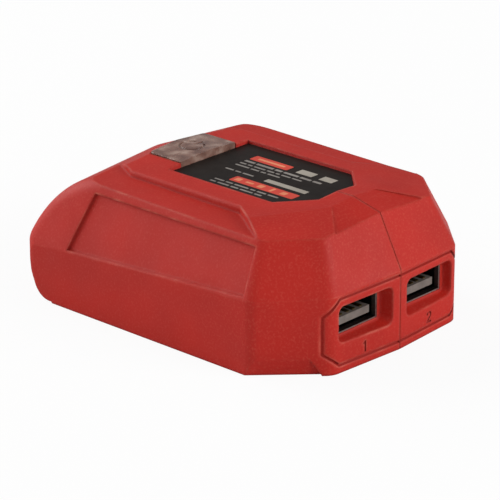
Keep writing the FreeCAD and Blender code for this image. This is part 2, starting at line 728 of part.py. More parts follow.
# Screw bosses, each across both halves: place along Y, place along Z
BOSSES = {
    "upper": (f"({FRONT} + upper_boss_setback)", "upper_boss_height"),
    "tail": (f"({TAIL} - tail_boss_setback)", "tail_boss_height"),
    "lower": (f"({FRONT} + lower_boss_setback)", "lower_boss_height"),
}
bosses = []
bores = []
for place, (y, z) in BOSSES.items():
    bosses.append(rod(f"{place}_boss_left", "boss_radius",
                      ("-waist_half", y, z), "waist_half", "x"))
    bosses.append(rod(f"{place}_boss_right", "well_radius + well_wall",
                      ("0", y, z), "waist_half", "x"))
    bores.append(rod(f"{place}_well", "well_radius", ("well_floor", y, z), "waist_half", "x"))
    bores.append(rod(f"{place}_clearance", "screw_radius + screw_slack",
                     ("0", y, z), "well_floor + wall / 2", "x"))
    bores.append(rod(f"{place}_thread", "screw_radius",
                     ("-(screw_length - well_floor + screw_tip_gap)", y, z),
                     "screw_length - well_floor + screw_tip_gap", "x"))

# Posts that carry the board, on the channel's ceiling
BOARD_BOTTOM = "(port_height + receptacle_height / 2)"
BOARD_TOP = f"({BOARD_BOTTOM} + board_thickness)"
BOARD_TAIL = f"({TAIL} - board_tail_setback)"
POSTS = [(side, y) for side in ("-", "") for y in (
    f"({STOP} + standoff_front)", f"({BOARD_TAIL} - standoff_tail)")]
for number, (side, y) in enumerate(POSTS, start=1):
    x = f"{side}standoff_half"
    bosses.append(rod(f"post_{number}", "standoff_radius", (x, y, "channel_height + wall / 2"),
                      f"{BOARD_BOTTOM} - channel_height - wall / 2"))
    bores.append(rod(f"post_bore_{number}", "board_screw_radius",
                     (x, y, f"{BOARD_BOTTOM} - board_screw_bite - solder_stub / 2"),
                     "board_screw_bite + wall"))

# Ribs under the two receptacles, which take the push of a plug
for side in ("-", ""):
    centre = f"{side}port_pitch / 2"
    bosses.append(block(f"cradle{side}", (
        f"{centre} - receptacle_width / 3", f"{MOUTH_FLOOR} + receptacle_length / 2", "0"), (
        f"{centre} + receptacle_width / 3", f"{MOUTH_FLOOR} + receptacle_length / 2 + wall",
        "port_height - receptacle_height / 2")))

# Everything that is cut out of the outside of the housing

cutters = list(bores)


def mouth_outline(name, y, shrink):
    """The recess round a port, at one depth."""
    half = f"(mouth_width / 2 - {shrink})"
    low = f"(port_height - mouth_drop - mouth_height / 2 + {shrink})"
    high = f"(port_height - mouth_drop + mouth_height / 2 - {shrink})"
    return outline(name, [(f"-{half}", low), (half, low), (half, high), (f"-{half}", high)],
                   y, "xz")


def runs_back(edge):
    """True for the four edges that run from the port face inwards."""
    return edge.BoundBox.YLength > size("mouth_depth") / 2


MOUTH_START = f"({FRONT} - wall)"
mouth = round_edges("port_mouth", loft("port_mouth_sharp", [
    mouth_outline("mouth_face", MOUTH_START, "(-mouth_draft * wall / mouth_depth)"),
    mouth_outline("mouth_floor", MOUTH_FLOOR, "mouth_draft"),
]), [(runs_back, size("mouth_round"))])
LIP_HALF = "(receptacle_width / 2 + lip_flare + receptacle_margin)"
LIP_RISE = "(receptacle_height / 2 + lip_flare + receptacle_margin)"
aperture = block("aperture", (f"-{LIP_HALF}", MOUTH_START, f"port_height - {LIP_RISE}"),
                 (LIP_HALF, f"{BEZEL_REAR} + wall", f"port_height + {LIP_RISE}"))
port_cut = fuse("port_cut", [mouth, aperture])
cutters.append(moved("port_cut_left", port_cut, x="-port_pitch / 2"))
cutters.append(moved("port_cut_right", port_cut, x="port_pitch / 2"))

# Line engraved round the port face, which turns onto the cut corners
groove_path = outline("groove_path", mirrored([
    ("0", "groove_top"),
    ("groove_half - groove_cut_width", "groove_top - groove_width / 2"),
    ("groove_half", "groove_top - groove_cut_top"),
    ("groove_half", "groove_foot + groove_cut_foot"),
    ("groove_half - groove_cut_width", "groove_foot"),
    ("0", "groove_foot"),
]), f"{FRONT} + shoulder_setback / 2", "xz")
groove_inner = drawn_in("groove_inner", groove_path, "groove_width")
groove_ring = cut("groove_ring", prism("groove_outside", groove_path, "shoulder_setback"),
                  [prism("groove_inside", groove_inner, "3 * shoulder_setback", True)])
cutters.append(cut("groove", groove_ring, [moved("groove_floor", lower_form, y="groove_depth")]))

# Port numbers under the two recesses, drawn in digits one unit high
DIGITS = {
    "left": ("-port_pitch / 2", [(-0.1, 0), (0.07, 0), (0.07, 1), (-0.05, 1), (-0.27, 0.82),
                                 (-0.18, 0.7), (-0.1, 0.77)]),
    "right": ("port_pitch / 2", [(-0.32, 0), (0.32, 0), (0.32, 0.15), (-0.1, 0.15), (0.27, 0.54),
                                 (0.32, 0.67), (0.32, 0.85), (0.18, 1), (-0.18, 1), (-0.32, 0.86),
                                 (-0.32, 0.7), (-0.17, 0.7), (-0.17, 0.8), (-0.11, 0.85),
                                 (0.11, 0.85), (0.17, 0.79), (0.17, 0.69), (0.13, 0.6),
                                 (-0.32, 0.15)]),
}
for side, (middle, points) in DIGITS.items():
    digit_path = outline(f"digit_path_{side}", [
        (f"{middle} + ({across}) * digit_height", f"digit_foot + ({up}) * digit_height")
        for across, up in points], NOSE, "xz")
    digit_block = prism(f"digit_block_{side}", digit_path, "shoulder_setback")
    floor = moved(f"digit_floor_{side}", lower_form, y="digit_depth")
    cutters.append(cut(f"digit_{side}", digit_block, [floor]))

# Recessed panels on the sloping side walls
PANEL_TAIL = f"({TAIL} - panel_tail_setback)"
PANEL_FRONT = f"({FRONT} + panel_front_setback)"
PANEL_DROP = "((waist_shoulder_height - waist_tail_height) / (body_length - shoulder_setback))"


def above_waist(y):
    """Lower edge of a side panel, a margin above the widest line."""
    fall = f"(({y}) - {SHOULDER}) * {PANEL_DROP}"
    return f"waist_shoulder_height - {fall} + panel_margin"


panel_outline = outline("panel_outline", [
    (PANEL_FRONT, above_waist(PANEL_FRONT)),
    (f"{PANEL_TAIL} + panel_slant", above_waist(f"{PANEL_TAIL} + panel_slant")),
    (PANEL_TAIL, "panel_top"),
    (f"{PANEL_FRONT} + wall / 2", "panel_top"),
], "0", "yz")
panel_block = prism("panel_block", panel_outline, "body_length")
cutters.append(cut("right_panel", panel_block,
                   [moved("right_panel_floor", upper_form, x="-panel_depth")]))
left_block = moved("left_panel_block", panel_block, x="-body_length")
cutters.append(cut("left_panel", left_block,
                   [moved("left_panel_floor", upper_form, x="panel_depth")]))

# Label recess and button opening
label_plan = outline("label_plan", mirrored([
    ("label_half - label_cut", LABEL_FRONT),
    ("label_half", f"{LABEL_FRONT} + label_cut"),
    ("label_half", LABEL_TAIL),
]), LABEL_SEAT)
cutters.append(prism("label_recess", drawn_in("label_recess_plan", label_plan, "-label_margin"),
                     "body_length"))
BUTTON_FRONT = f"({LABEL_TAIL} + label_margin + button_margin)"
BUTTON_TAIL = f"({BUTTON_FRONT} + button_length)"
BUTTON_MIDDLE = f"({BUTTON_FRONT} + button_length / 2)"
BUTTON_HOLE_HALF = "(button_half + button_margin)"
button_hole = block("button_hole_sharp", (
    f"-{BUTTON_HOLE_HALF}", f"{BUTTON_FRONT} - button_margin", f"{VOID_TOP} - wall"), (
    BUTTON_HOLE_HALF, f"{BUTTON_TAIL} + button_margin", "body_length"))


def rear_upright(edge):
    """The two upright corners behind the middle of the button."""
    return rises(edge) and edge.CenterOfMass.y > measure(BUTTON_MIDDLE)


cutters.append(round_edges("button_hole", button_hole,
                           [(rear_upright, size("button_round") + size("button_margin"))]))

# Channel for the battery pack, open at the tail and below
channel_upper = block("channel_upper", ("-rail_half", STOP, "rail_thickness"),
                      ("rail_half", BEYOND, "channel_height"))
channel_neck = block("channel_neck", ("-neck_half", STOP, "-wall"),
                     ("neck_half", BEYOND, "channel_height"))
catch = block("catch_pocket", (
    "-catch_half", f"{TAIL} - catch_setback - catch_length", "rail_thickness"), (
    "catch_half", f"{TAIL} - catch_setback", "channel_height + catch_depth"))
TERMINAL_FRONT = f"({STOP} + terminal_setback)"
TERMINAL_TAIL = f"({TERMINAL_FRONT} + terminal_length)"
window = block("terminal_window", (
    "-(terminal_half + terminal_fit)", f"{TERMINAL_FRONT} - terminal_fit", "rail_thickness"), (
    "terminal_half + terminal_fit", f"{TERMINAL_TAIL} + terminal_fit", f"{CEILING_TOP} + wall / 4"))
cutters += [channel_upper, channel_neck, catch, window]

# Chamfer at the foot of each cut corner, which stops short of the port face
CORNER_RUN = f"(({SHOULDER} - {NOSE}) / (waist_half - nose_half))"


def chamfer_outline(name, side, level):
    """What the chamfer takes off a cut corner, at one level."""
    share = f"(({level}) / foot_height)"
    start = f"(nose_half + foot_start + foot_spread * {share})"
    end = "(waist_half + wall)"
    tuck = f"foot_tuck * (1 - {share}) * sqrt(1 + {CORNER_RUN} ^ 2)"
    line = [(x, f"({NOSE} + ({x} - nose_half) * {CORNER_RUN} + {tuck})") for x in (start, end)]
    outside = [(f"({x} + 2 * wall)", f"{y} - 2 * wall") for x, y in reversed(line)]
    return outline(name, [(f"{side}{x}", y) for x, y in line + outside], level)


for side_name, side in (("left", "-"), ("right", "")):
    cutters.append(loft(f"{side_name}_chamfer", [
        chamfer_outline(f"{side_name}_chamfer_low", side, "-wall"),
        chamfer_outline(f"{side_name}_chamfer_high", side, "foot_height + wall"),
    ]))

# The shell is whole here and is split along the middle into its two halves.

walls = cut("walls", outer_form, [hollow])
fittings = common("fittings", [fuse("fittings_all", [bezel] + bosses), outer_form])
shell = cut("shell", fuse("shell_solid", [walls, fittings]), cutters)
HALVES = {
    "left": (("-body_length", "-body_length", "-wall"),
             ("-seam_gap / 2", "body_length", "body_length")),
    "right": (("seam_gap / 2", "-body_length", "-wall"),
              ("body_length", "body_length", "body_length")),
}
for side, (low, high) in HALVES.items():
    half_space = block(f"{side}_half", low, high)
    keep(f"{side}_housing", common(f"{side}_housing_shell", [shell, half_space]))


# Pieces drawn as sketches with features

def new_body(name):
    return doc.addObject("PartDesign::Body", name)


def sketch_in(body, name, plane="XY", level="0"):
    """A sketch on one of the body's own planes, at a level."""
    sketch = body.newObject("Sketcher::SketchObject", name)
    role = f"{plane}_Plane"
    support = [feature for feature in body.Origin.OriginFeatures if feature.Role == role]
    sketch.AttachmentSupport = (support[0], [""])
    sketch.MapMode = "FlatFace"
    bind(sketch, "AttachmentOffset.Base.z", level)
    return sketch


def pad(body, name, sketch, length):
    """Material added along the sketch's normal."""
    feature = body.newObject("PartDesign::Pad", name)
    feature.Profile = sketch
    bind(feature, "Length", length)
    return feature


def pocket(body, name, sketch, depth, upwards=False):
    """Material taken away against the sketch's normal, or along it."""
    feature = body.newObject("PartDesign::Pocket", name)
    feature.Profile = sketch
    feature.Reversed = upwards
    bind(feature, "Length", depth)
    return feature


def revolve(body, name, sketch, axis):
    feature = body.newObject("PartDesign::Revolution", name)
    feature.Profile = sketch
    feature.ReferenceAxis = (sketch, [axis])
    feature.Angle = 360
    return feature


def soften(body, name, wanted, radius):
    """Rounded edges on a body's last feature."""
    doc.recompute()
    base = body.Tip
    feature = body.newObject("PartDesign::Fillet", name)
    names = [f"Edge{number}" for number, edge in enumerate(base.Shape.Edges, start=1)
             if wanted(edge)]
    feature.Base = (base, names)
    bind(feature, "Radius", radius)
    return feature


def rectangle(low, high):
    """Corners of a rectangle between two points."""
    (x0, y0), (x1, y1) = low, high
    return [(x0, y0), (x1, y0), (x1, y1), (x0, y1)]


def about(centre, half):
    """Corners of a rectangle round a centre."""
    (x, y), (half_x, half_y) = centre, half
    return rectangle((f"{x} - ({half_x})", f"{y} - ({half_y})"),
                     (f"{x} + {half_x}", f"{y} + {half_y}"))


def cross(half_width, reach):
    """Corners of a cross round the origin."""
    a, b = f"({half_width})", f"({reach})"
    return [(a, b), (f"-{a}", b), (f"-{a}", a), (f"-{b}", a), (f"-{b}", f"-{a}"),
            (f"-{a}", f"-{a}"), (f"-{a}", f"-{b}"), (a, f"-{b}"), (a, f"-{a}"),
            (b, f"-{a}"), (b, a), (a, a)]


# Rating label, a thin sheet in its recess
label = new_body("label_body")
label_sketch = sketch_in(label, "label_sketch", level=LABEL_SEAT)
draw(label_sketch, mirrored([
    ("label_half - label_cut", LABEL_FRONT),
    ("label_half", f"{LABEL_FRONT} + label_cut"),
    ("label_half", LABEL_TAIL),
]))
pad(label, "label_sheet_pad", label_sketch, "label_sheet")
keep("rating_label", label)

# Power button: a hollow translucent cap with a flange that holds it in and a stem that
# rests on the switch
BUTTON_TOP = "(platform_top + button_proud)"
FLANGE_TOP = f"({VOID_TOP} - button_play)"
FLANGE_FOOT = f"({FLANGE_TOP} - button_flange_height)"
SWITCH_TOP = f"({BOARD_TOP} + switch_height + switch_plate)"
PLUNGER_TOP = f"({SWITCH_TOP} + plunger_height)"
BUTTON_CENTRE = ("0", BUTTON_MIDDLE)
CAP_REAR = f"({BUTTON_FRONT} + button_length)"
cap_block = round_edges("cap_block", block("cap_sharp", (
    "-button_half", BUTTON_FRONT, FLANGE_FOOT), ("button_half", CAP_REAR, HIGH_LEVEL)),
    [(rear_upright, size("button_round"))])
cap = common("button_cap", [cap_block, moved("cap_roof", platform_roof, z="button_proud"),
                            moved("cap_tail", tail_form, z="button_proud")])
flange_block = block("flange_block", (
    "-(button_half + button_flange)", f"{BUTTON_FRONT} - button_flange", FLANGE_FOOT), (
    "button_half + button_flange", f"{CAP_REAR} + button_flange", FLANGE_TOP))
flange = common("button_flange", [flange_block, moved(
    "flange_tail", tail_form, y="-wall - button_play", z="-wall - button_play")])
cap_hollow = block("cap_hollow", (
    "-(button_half - button_wall)", f"{BUTTON_FRONT} + button_wall", FLANGE_FOOT), (
    "button_half - button_wall", f"{CAP_REAR} - button_wall", f"{BUTTON_TOP} - button_wall"))

# A ring with a bar in its gap, the usual sign for power, sunk in the top. It is read from
# the left side, as the label is.
SYMBOL_FOOT = f"({BUTTON_TOP} - button_wall / 2)"
ring = cut("symbol_ring", rod("ring_outside", "symbol_radius", BUTTON_CENTRE + (SYMBOL_FOOT,),
                              "button_wall"), [
    rod("ring_inside", "symbol_radius - symbol_line", BUTTON_CENTRE + (SYMBOL_FOOT,), "button_wall"),
    block("ring_gap", ("0", f"{BUTTON_MIDDLE} - 2 * symbol_line", SYMBOL_FOOT), (
        "2 * symbol_radius", f"{BUTTON_MIDDLE} + 2 * symbol_line", HIGH_LEVEL))])
bar = block("symbol_bar", ("symbol_radius / 4", f"{BUTTON_MIDDLE} - symbol_line / 2", SYMBOL_FOOT), (
    "1.2 * symbol_radius", f"{BUTTON_MIDDLE} + symbol_line / 2", HIGH_LEVEL))
symbol = cut("symbol", fuse("symbol_lines", [ring, bar]), [
    moved("symbol_floor", platform_roof, z="button_proud - symbol_depth")])
hollow_cap = cut("hollow_cap", fuse("cap_and_flange", [cap, flange]), [cap_hollow])
stem = rod("button_stem", "stem_radius", BUTTON_CENTRE + (f"{PLUNGER_TOP} + button_play",),
           f"{BUTTON_TOP} - button_wall / 2 - {PLUNGER_TOP} - button_play")
keep("power_button", cut("button_shape", fuse("cap_and_stem", [hollow_cap, stem]), [symbol]))

# Tactile switch: body with a well, metal cover, plunger and four soldered feet
SWITCH_LOW = ("-switch_half", f"{BUTTON_MIDDLE} - switch_half", BOARD_TOP)
PLATE_FOOT = f"({BOARD_TOP} + switch_height)"
switch_block = block("switch_block", SWITCH_LOW,
                     ("switch_half", f"{BUTTON_MIDDLE} + switch_half", PLATE_FOOT))
WELL_HALF = "(plunger_radius + plunger_collar + plunger_fit)"
switch_well = block("switch_well", (
    f"-{WELL_HALF}", f"{BUTTON_MIDDLE} - {WELL_HALF}", f"{PLATE_FOOT} - plunger_well"), (
    WELL_HALF, f"{BUTTON_MIDDLE} + {WELL_HALF}", PLATE_FOOT))
keep("switch_body", cut("switch_body_shape", switch_block, [switch_well]))
cover_plate = block("cover_plate", ("-switch_half", f"{BUTTON_MIDDLE} - switch_half", PLATE_FOOT),
                    ("switch_half", f"{BUTTON_MIDDLE} + switch_half", SWITCH_TOP))
cover_hole = rod("cover_hole", "plunger_radius + plunger_fit",
                 ("0", BUTTON_MIDDLE, f"{PLATE_FOOT} - switch_plate"), "3 * switch_plate")
tabs = [block(f"cover_tab_{name}",
              ("-switch_half / 2", f"{BUTTON_MIDDLE} + {start}", f"{BOARD_TOP} + foot_rise"),
              ("switch_half / 2", f"{BUTTON_MIDDLE} + {end}", SWITCH_TOP))
        for name, start, end in (("front", "-switch_half - switch_plate", "-switch_half"),
                                 ("rear", "switch_half", "switch_half + switch_plate"))]
keep("switch_cover", cut("switch_cover_shape", fuse("cover_metal", [cover_plate] + tabs),
                         [cover_hole]))

plunger = new_body("plunger_body")
COLLAR_FOOT = f"({PLATE_FOOT} - button_play - plunger_collar_height)"
collar_sketch = sketch_in(plunger, "collar_sketch", level=COLLAR_FOOT)
draw_circle(collar_sketch, BUTTON_CENTRE, "plunger_radius + plunger_collar")
pad(plunger, "collar_pad", collar_sketch, "plunger_collar_height")
pin_sketch = sketch_in(plunger, "pin_sketch", level=COLLAR_FOOT)
draw_circle(pin_sketch, BUTTON_CENTRE, "plunger_radius")
pad(plunger, "pin_pad", pin_sketch, f"{PLUNGER_TOP} - {COLLAR_FOOT}")
keep("switch_plunger", plunger)

foot_outline_xz = outline("switch_foot_outline", [
    ("switch_half", BOARD_TOP),
    ("switch_half + foot_reach", BOARD_TOP),
    ("switch_half + foot_reach", f"{BOARD_TOP} + foot_sheet"),
    ("switch_half + foot_sheet", f"{BOARD_TOP} + foot_sheet"),
    ("switch_half + foot_sheet", f"{BOARD_TOP} + foot_rise"),
    ("switch_half", f"{BOARD_TOP} + foot_rise"),
], "0", "xz")
foot = prism("switch_foot", foot_outline_xz, "foot_width")
feet = []
for name, shift in (("front", "-foot_pitch / 2"), ("rear", "foot_pitch / 2")):
    y = f"{BUTTON_MIDDLE} + {shift} + foot_width / 2"
    right_foot = moved(f"foot_{name}_right", foot, y=y)
    left_foot = doc.addObject("Part::Mirroring", f"foot_{name}_left")
    left_foot.Source = right_foot
    left_foot.Normal = Vector(1, 0, 0)
    feet += [right_foot, left_foot]
keep("switch_terminals", group("switch_feet", feet))

# USB A receptacles. Each hangs upside down under the board, so its tongue is low.
RECEPTACLE_REAR = f"({MOUTH_FLOOR} + receptacle_length)"
LIP_END = f"({MOUTH_FLOOR} + lip_length)"


def receptacle_ring(name, y, spread):
    """A rectangle round the middle of a receptacle, at one depth."""
    return outline(name, about(("0", "port_height"), (f"receptacle_width / 2 + {spread}",
                                                      f"receptacle_height / 2 + {spread}")),
                   y, "xz")


shell_outside = loft("receptacle_outside", [
    receptacle_ring("lip_outside", MOUTH_FLOOR, "lip_flare"),
    receptacle_ring("tube_outside", LIP_END, "0"),
    receptacle_ring("rear_outside", RECEPTACLE_REAR, "0"),
])
shell_inside = loft("receptacle_inside", [
    receptacle_ring("lip_inside", MOUTH_FLOOR, "lip_flare - receptacle_sheet"),
    receptacle_ring("tube_inside", LIP_END, "-receptacle_sheet"),
    receptacle_ring("rear_inside", RECEPTACLE_REAR, "-receptacle_sheet"),
])
legs = [block(f"receptacle_leg_{side}",
              (start, f"{RECEPTACLE_REAR} - leg_setback - leg_length", "port_height"),
              (end, f"{RECEPTACLE_REAR} - leg_setback", f"{BOARD_TOP} + solder_stub"))
        for side, start, end in (
            ("left", "-receptacle_width / 2", "-receptacle_width / 2 + receptacle_sheet"),
            ("right", "receptacle_width / 2 - receptacle_sheet", "receptacle_width / 2"))]
receptacle_shell = fuse("receptacle_shell", [
    cut("receptacle_tube", shell_outside, [shell_inside])] + legs)

TONGUE_MIDDLE = "(port_height - tongue_drop)"
TONGUE_TOP = f"({TONGUE_MIDDLE} + tongue_height / 2)"
TONGUE_TIP = f"({MOUTH_FLOOR} + tongue_setback)"
INSULATOR_HALF = "(receptacle_width / 2 - receptacle_sheet)"
INSULATOR_RISE = "(receptacle_height / 2 - receptacle_sheet)"
insulator_rear = block("insulator_rear", (
    f"-{INSULATOR_HALF}", f"{RECEPTACLE_REAR} - insulator_length",
    f"port_height - {INSULATOR_RISE}"), (
    INSULATOR_HALF, RECEPTACLE_REAR, f"port_height + {INSULATOR_RISE}"))
tongue = block("tongue", ("-tongue_width / 2", TONGUE_TIP, f"{TONGUE_MIDDLE} - tongue_height / 2"),
               ("tongue_width / 2", f"{RECEPTACLE_REAR} - insulator_length / 2", TONGUE_TOP))
CONTACT_REAR = f"({RECEPTACLE_REAR} + contact_overhang)"
contact_outline = outline("contact_outline", [
    (f"{TONGUE_TIP} + contact_setback", TONGUE_TOP),
    (CONTACT_REAR, TONGUE_TOP),
    (CONTACT_REAR, f"{BOARD_TOP} + solder_stub"),
    (f"{CONTACT_REAR} - contact_sheet", f"{BOARD_TOP} + solder_stub"),
    (f"{CONTACT_REAR} - contact_sheet", f"{TONGUE_TOP} + contact_sheet"),
    (f"{TONGUE_TIP} + contact_setback", f"{TONGUE_TOP} + contact_sheet"),
], "-contact_width / 2", "yz")
contact = prism("contact", contact_outline, "contact_width")
CONTACT_PLACES = ["-contact_outer_pitch / 2", "-contact_inner_pitch / 2",
                  "contact_inner_pitch / 2", "contact_outer_pitch / 2"]
contacts = group("contacts", [moved(f"contact_{number}", contact, x=place)
                              for number, place in enumerate(CONTACT_PLACES, start=1)])
insulator = cut("insulator", fuse("insulator_plastic", [insulator_rear, tongue]), [contacts])
PORTS = {"left": "-port_pitch / 2", "right": "port_pitch / 2"}
for side, x in PORTS.items():
    keep(f"usb_shell_{side}", moved(f"receptacle_shell_{side}", receptacle_shell, x=x))
    keep(f"usb_insulator_{side}", moved(f"insulator_{side}", insulator, x=x))
    keep(f"usb_contacts_{side}", moved(f"contacts_{side}", contacts, x=x))

# Terminal block with three blades for the battery pack's terminals
BLADE_MIDDLE = "(channel_height - terminal_drop / 2)"
BLADE_TAIL = f"({TERMINAL_FRONT} + (terminal_length - blade_tail) / 2)"
BLADES = {"positive": "-blade_pitch", "sense": "0", "negative": "blade_pitch"}
blade_points = [
    (BLADE_TAIL, f"{BLADE_MIDDLE} - blade_height / 2"),
    (f"{TERMINAL_TAIL} + blade_reach", f"{BLADE_MIDDLE} - blade_height / 2"),
    (f"{TERMINAL_TAIL} + blade_reach", f"{BLADE_MIDDLE} + blade_height / 2"),
    (f"{BLADE_TAIL} + blade_tail", f"{BLADE_MIDDLE} + blade_height / 2"),
    (f"{BLADE_TAIL} + blade_tail", f"{BOARD_TOP} + solder_stub"),
    (BLADE_TAIL, f"{BOARD_TOP} + solder_stub"),
]


def blade_tip(edge):
    """The two corners at the free end of a blade."""
    across = edge.BoundBox.XLength > size("blade_sheet") / 2
    tip = measure(f"{TERMINAL_TAIL} + blade_reach")
    return across and abs(edge.CenterOfMass.y - tip) < size("blade_sheet") / 2


blades = []
for name, x in BLADES.items():
    blade = new_body(f"{name}_blade_body")
    blade_sketch = sketch_in(blade, f"{name}_blade_sketch", "YZ", f"{x} - blade_sheet / 2")
    draw(blade_sketch, blade_points)
    pad(blade, f"{name}_blade_pad", blade_sketch, "blade_sheet")
    soften(blade, f"{name}_blade_tip", blade_tip, "blade_sheet")
    blades.append(keep(f"blade_{name}", blade))
terminal_core = block("terminal_core", (
    "-terminal_half", TERMINAL_FRONT, "channel_height - terminal_drop"), (
    "terminal_half", TERMINAL_TAIL, f"{CEILING_TOP} + terminal_flange_height"))
terminal_rim = block("terminal_rim", (
    "-terminal_half - terminal_flange", f"{TERMINAL_FRONT} - terminal_flange", CEILING_TOP), (
    "terminal_half + terminal_flange", f"{TERMINAL_TAIL} + terminal_flange",
    f"{CEILING_TOP} + terminal_flange_height"))
keep("terminal_block", cut("terminal_plastic", fuse("terminal_blank", [
    terminal_core, terminal_rim]), blades))

# Circuit board, with slots for everything that is soldered through it
BOARD_FRONT = f"({BEZEL_REAR} + board_gap)"
board = new_body("board_body")
board_sketch = sketch_in(board, "board_sketch", level=BOARD_BOTTOM)
draw(board_sketch, mirrored([
    ("board_nose_half", BOARD_FRONT),
    ("board_half", f"{BOARD_FRONT} + board_half - board_nose_half"),
    ("board_half", BOARD_TAIL),
]))
pad(board, "board_pad", board_sketch, "board_thickness")
slot_sketch = sketch_in(board, "slot_sketch", level=BOARD_TOP)
for side in PORTS.values():
    for place in CONTACT_PLACES:
        draw(slot_sketch, about((f"{side} + {place}", f"{CONTACT_REAR} - contact_sheet / 2"), (
            "contact_width / 2 + hole_margin", "contact_sheet / 2 + hole_margin")))
    for x in ("-receptacle_width / 2 + receptacle_sheet / 2",
              "receptacle_width / 2 - receptacle_sheet / 2"):
        y = f"{RECEPTACLE_REAR} - leg_setback - leg_length / 2"
        draw(slot_sketch, about((f"{side} + {x}", y), (
            "receptacle_sheet / 2 + hole_margin", "leg_length / 2 + hole_margin")))
for x in BLADES.values():
    draw(slot_sketch, about((x, f"{BLADE_TAIL} + blade_tail / 2"), (
        "blade_sheet / 2 + hole_margin", "blade_tail / 2 + hole_margin")))
for side, y in POSTS:
    draw_circle(slot_sketch, (f"{side}standoff_half", y), "board_screw_radius + hole_margin")
pocket(board, "board_slots", slot_sketch, "board_thickness")
keep("main_board", board)


# Power circuit on the board

def chip(name, x, y, long, wide, high):
    """A rectangular component on the board, its longer side along the body."""
    return block(name, (f"{x} - {wide} / 2", f"{y} - {long} / 2", BOARD_TOP),
                 (f"{x} + {wide} / 2", f"{y} + {long} / 2", f"{BOARD_TOP} + {high}"))


COIL = ("coil_x", "coil_y")
coil_foot = rod("coil_foot", "coil_radius", COIL + (BOARD_TOP,), "coil_flange")
coil_core = rod("coil_core", "coil_radius - coil_wire", COIL + (BOARD_TOP,), "coil_height")
coil_head = rod("coil_head", "coil_radius",
                COIL + (f"{BOARD_TOP} + coil_height - coil_flange",), "coil_flange")
keep("inductor_core", fuse("inductor_ferrite", [coil_foot, coil_core, coil_head]))
coil_blank = rod("coil_blank", "coil_radius - coil_flange / 4",
                 COIL + (f"{BOARD_TOP} + coil_flange",), "coil_height - 2 * coil_flange")
keep("inductor_winding", cut("inductor_copper", coil_blank, [coil_core]))

cans = []
seals = []
for number in range(2):
    place = ("-capacitor_offset", f"capacitor_y + {number} * capacitor_pitch")
    seals.append(rod(f"seal_{number}", "capacitor_radius - capacitor_foot / 2",
                     place + (BOARD_TOP,), "capacitor_foot"))
    cans.append(rod(f"can_{number}", "capacitor_radius",
                    place + (f"{BOARD_TOP} + capacitor_foot",),
                    "capacitor_height - capacitor_foot"))
keep("electrolytic_cans", group("can_pair", cans))
keep("electrolytic_seals", group("seal_pair", seals))

keep("converter_chip", chip("converter", "converter_x", "converter_y",
                            "chip_length", "chip_width", "chip_height"))
keep("port_chips", group("port_chip_pair", [
    chip(f"port_chip_{side}", x, f"({FRONT} + port_chip_setback)",
         "port_chip_side", "port_chip_side", "chip_height")
    for side, x in PORTS.items()]))
keep("diode", chip("rectifier", "coil_x", "diode_y",
                   "diode_width", "diode_length", "diode_height"))
keep("fuse", chip("fuse_link", "-blade_pitch", "fuse_y",
                  "fuse_width", "fuse_length", "fuse_width"))
ceramics = []
for number in range(3):
    ceramics.append(chip(f"ceramic_output_{number}",
                         f"converter_x + (1 - {number}) * ceramic_pitch", "ceramic_output_y",
                         "ceramic_length", "ceramic_width", "ceramic_height"))
    ceramics.append(chip(f"ceramic_input_{number}",
                         f"converter_x + (1 - {number}) * ceramic_pitch", "ceramic_input_y",
                         "ceramic_length", "ceramic_width", "ceramic_height"))
keep("ceramic_capacitors", group("ceramic_set", ceramics))
keep("status_leds", group("led_pair", [
    chip(f"led_{side}", f"{side}led_offset", BUTTON_MIDDLE, "led_side", "led_side", "led_height")
    for side in ("-", "")]))

# Screws. The three housing screws are driven from the right, into the left bosses.
HEAD_OUTSIDE = "(well_floor + screw_head_height)"
screw = new_body("screw_body")
screw_sketch = sketch_in(screw, "screw_sketch")
draw(screw_sketch, [
    ("well_floor - screw_length", "0"),
    (HEAD_OUTSIDE, "0"),
    (HEAD_OUTSIDE, "screw_head_radius"),
    ("well_floor", "screw_head_radius"),
    ("well_floor", "screw_radius"),
    ("well_floor - screw_length + screw_radius", "screw_radius"),
])
revolve(screw, "screw_turned", screw_sketch, "H_Axis")
screw_cross = sketch_in(screw, "screw_cross", "YZ", HEAD_OUTSIDE)
draw(screw_cross, cross("driver_width / 2", "driver_reach * screw_head_radius"))
pocket(screw, "screw_drive", screw_cross, "driver_depth")
keep("housing_screws", group("housing_screw_set", [
    moved(f"screw_{place}", screw, y=y, z=z) for place, (y, z) in BOSSES.items()]))

BOARD_SCREW_TOP = f"({BOARD_TOP} + board_screw_head_height)"
small_screw = new_body("board_screw_body")
small_sketch = sketch_in(small_screw, "board_screw_sketch", "XZ")
draw(small_sketch, [
    ("0", f"{BOARD_BOTTOM} - board_screw_bite"),
    ("board_screw_radius", f"{BOARD_BOTTOM} - board_screw_bite"),
    ("board_screw_radius", BOARD_TOP),
    ("board_screw_head", BOARD_TOP),
    ("board_screw_head", BOARD_SCREW_TOP),
    ("0", BOARD_SCREW_TOP),
])
revolve(small_screw, "board_screw_turned", small_sketch, "V_Axis")
small_cross = sketch_in(small_screw, "board_screw_cross", "XY", BOARD_SCREW_TOP)
draw(small_cross, cross("driver_width / 3", "driver_reach * board_screw_head"))
pocket(small_screw, "board_screw_drive", small_cross, "board_screw_head_height / 2")
keep("board_screws", group("board_screw_set", [
    moved(f"board_screw_{number}", small_screw, x=f"{side}standoff_half", y=y)
    for number, (side, y) in enumerate(POSTS, start=1)]))


# Everything is checked before the pieces are written

doc.recompute()
for thing in doc.Objects:
    if "Invalid" in thing.State or "Error" in thing.State:
        raise RuntimeError(f"{thing.Label} did not compute: {thing.State}")
for piece in pieces:
    if piece.Shape.isNull() or not piece.Shape.isValid():
        raise RuntimeError(f"{piece.Label} has no valid shape")

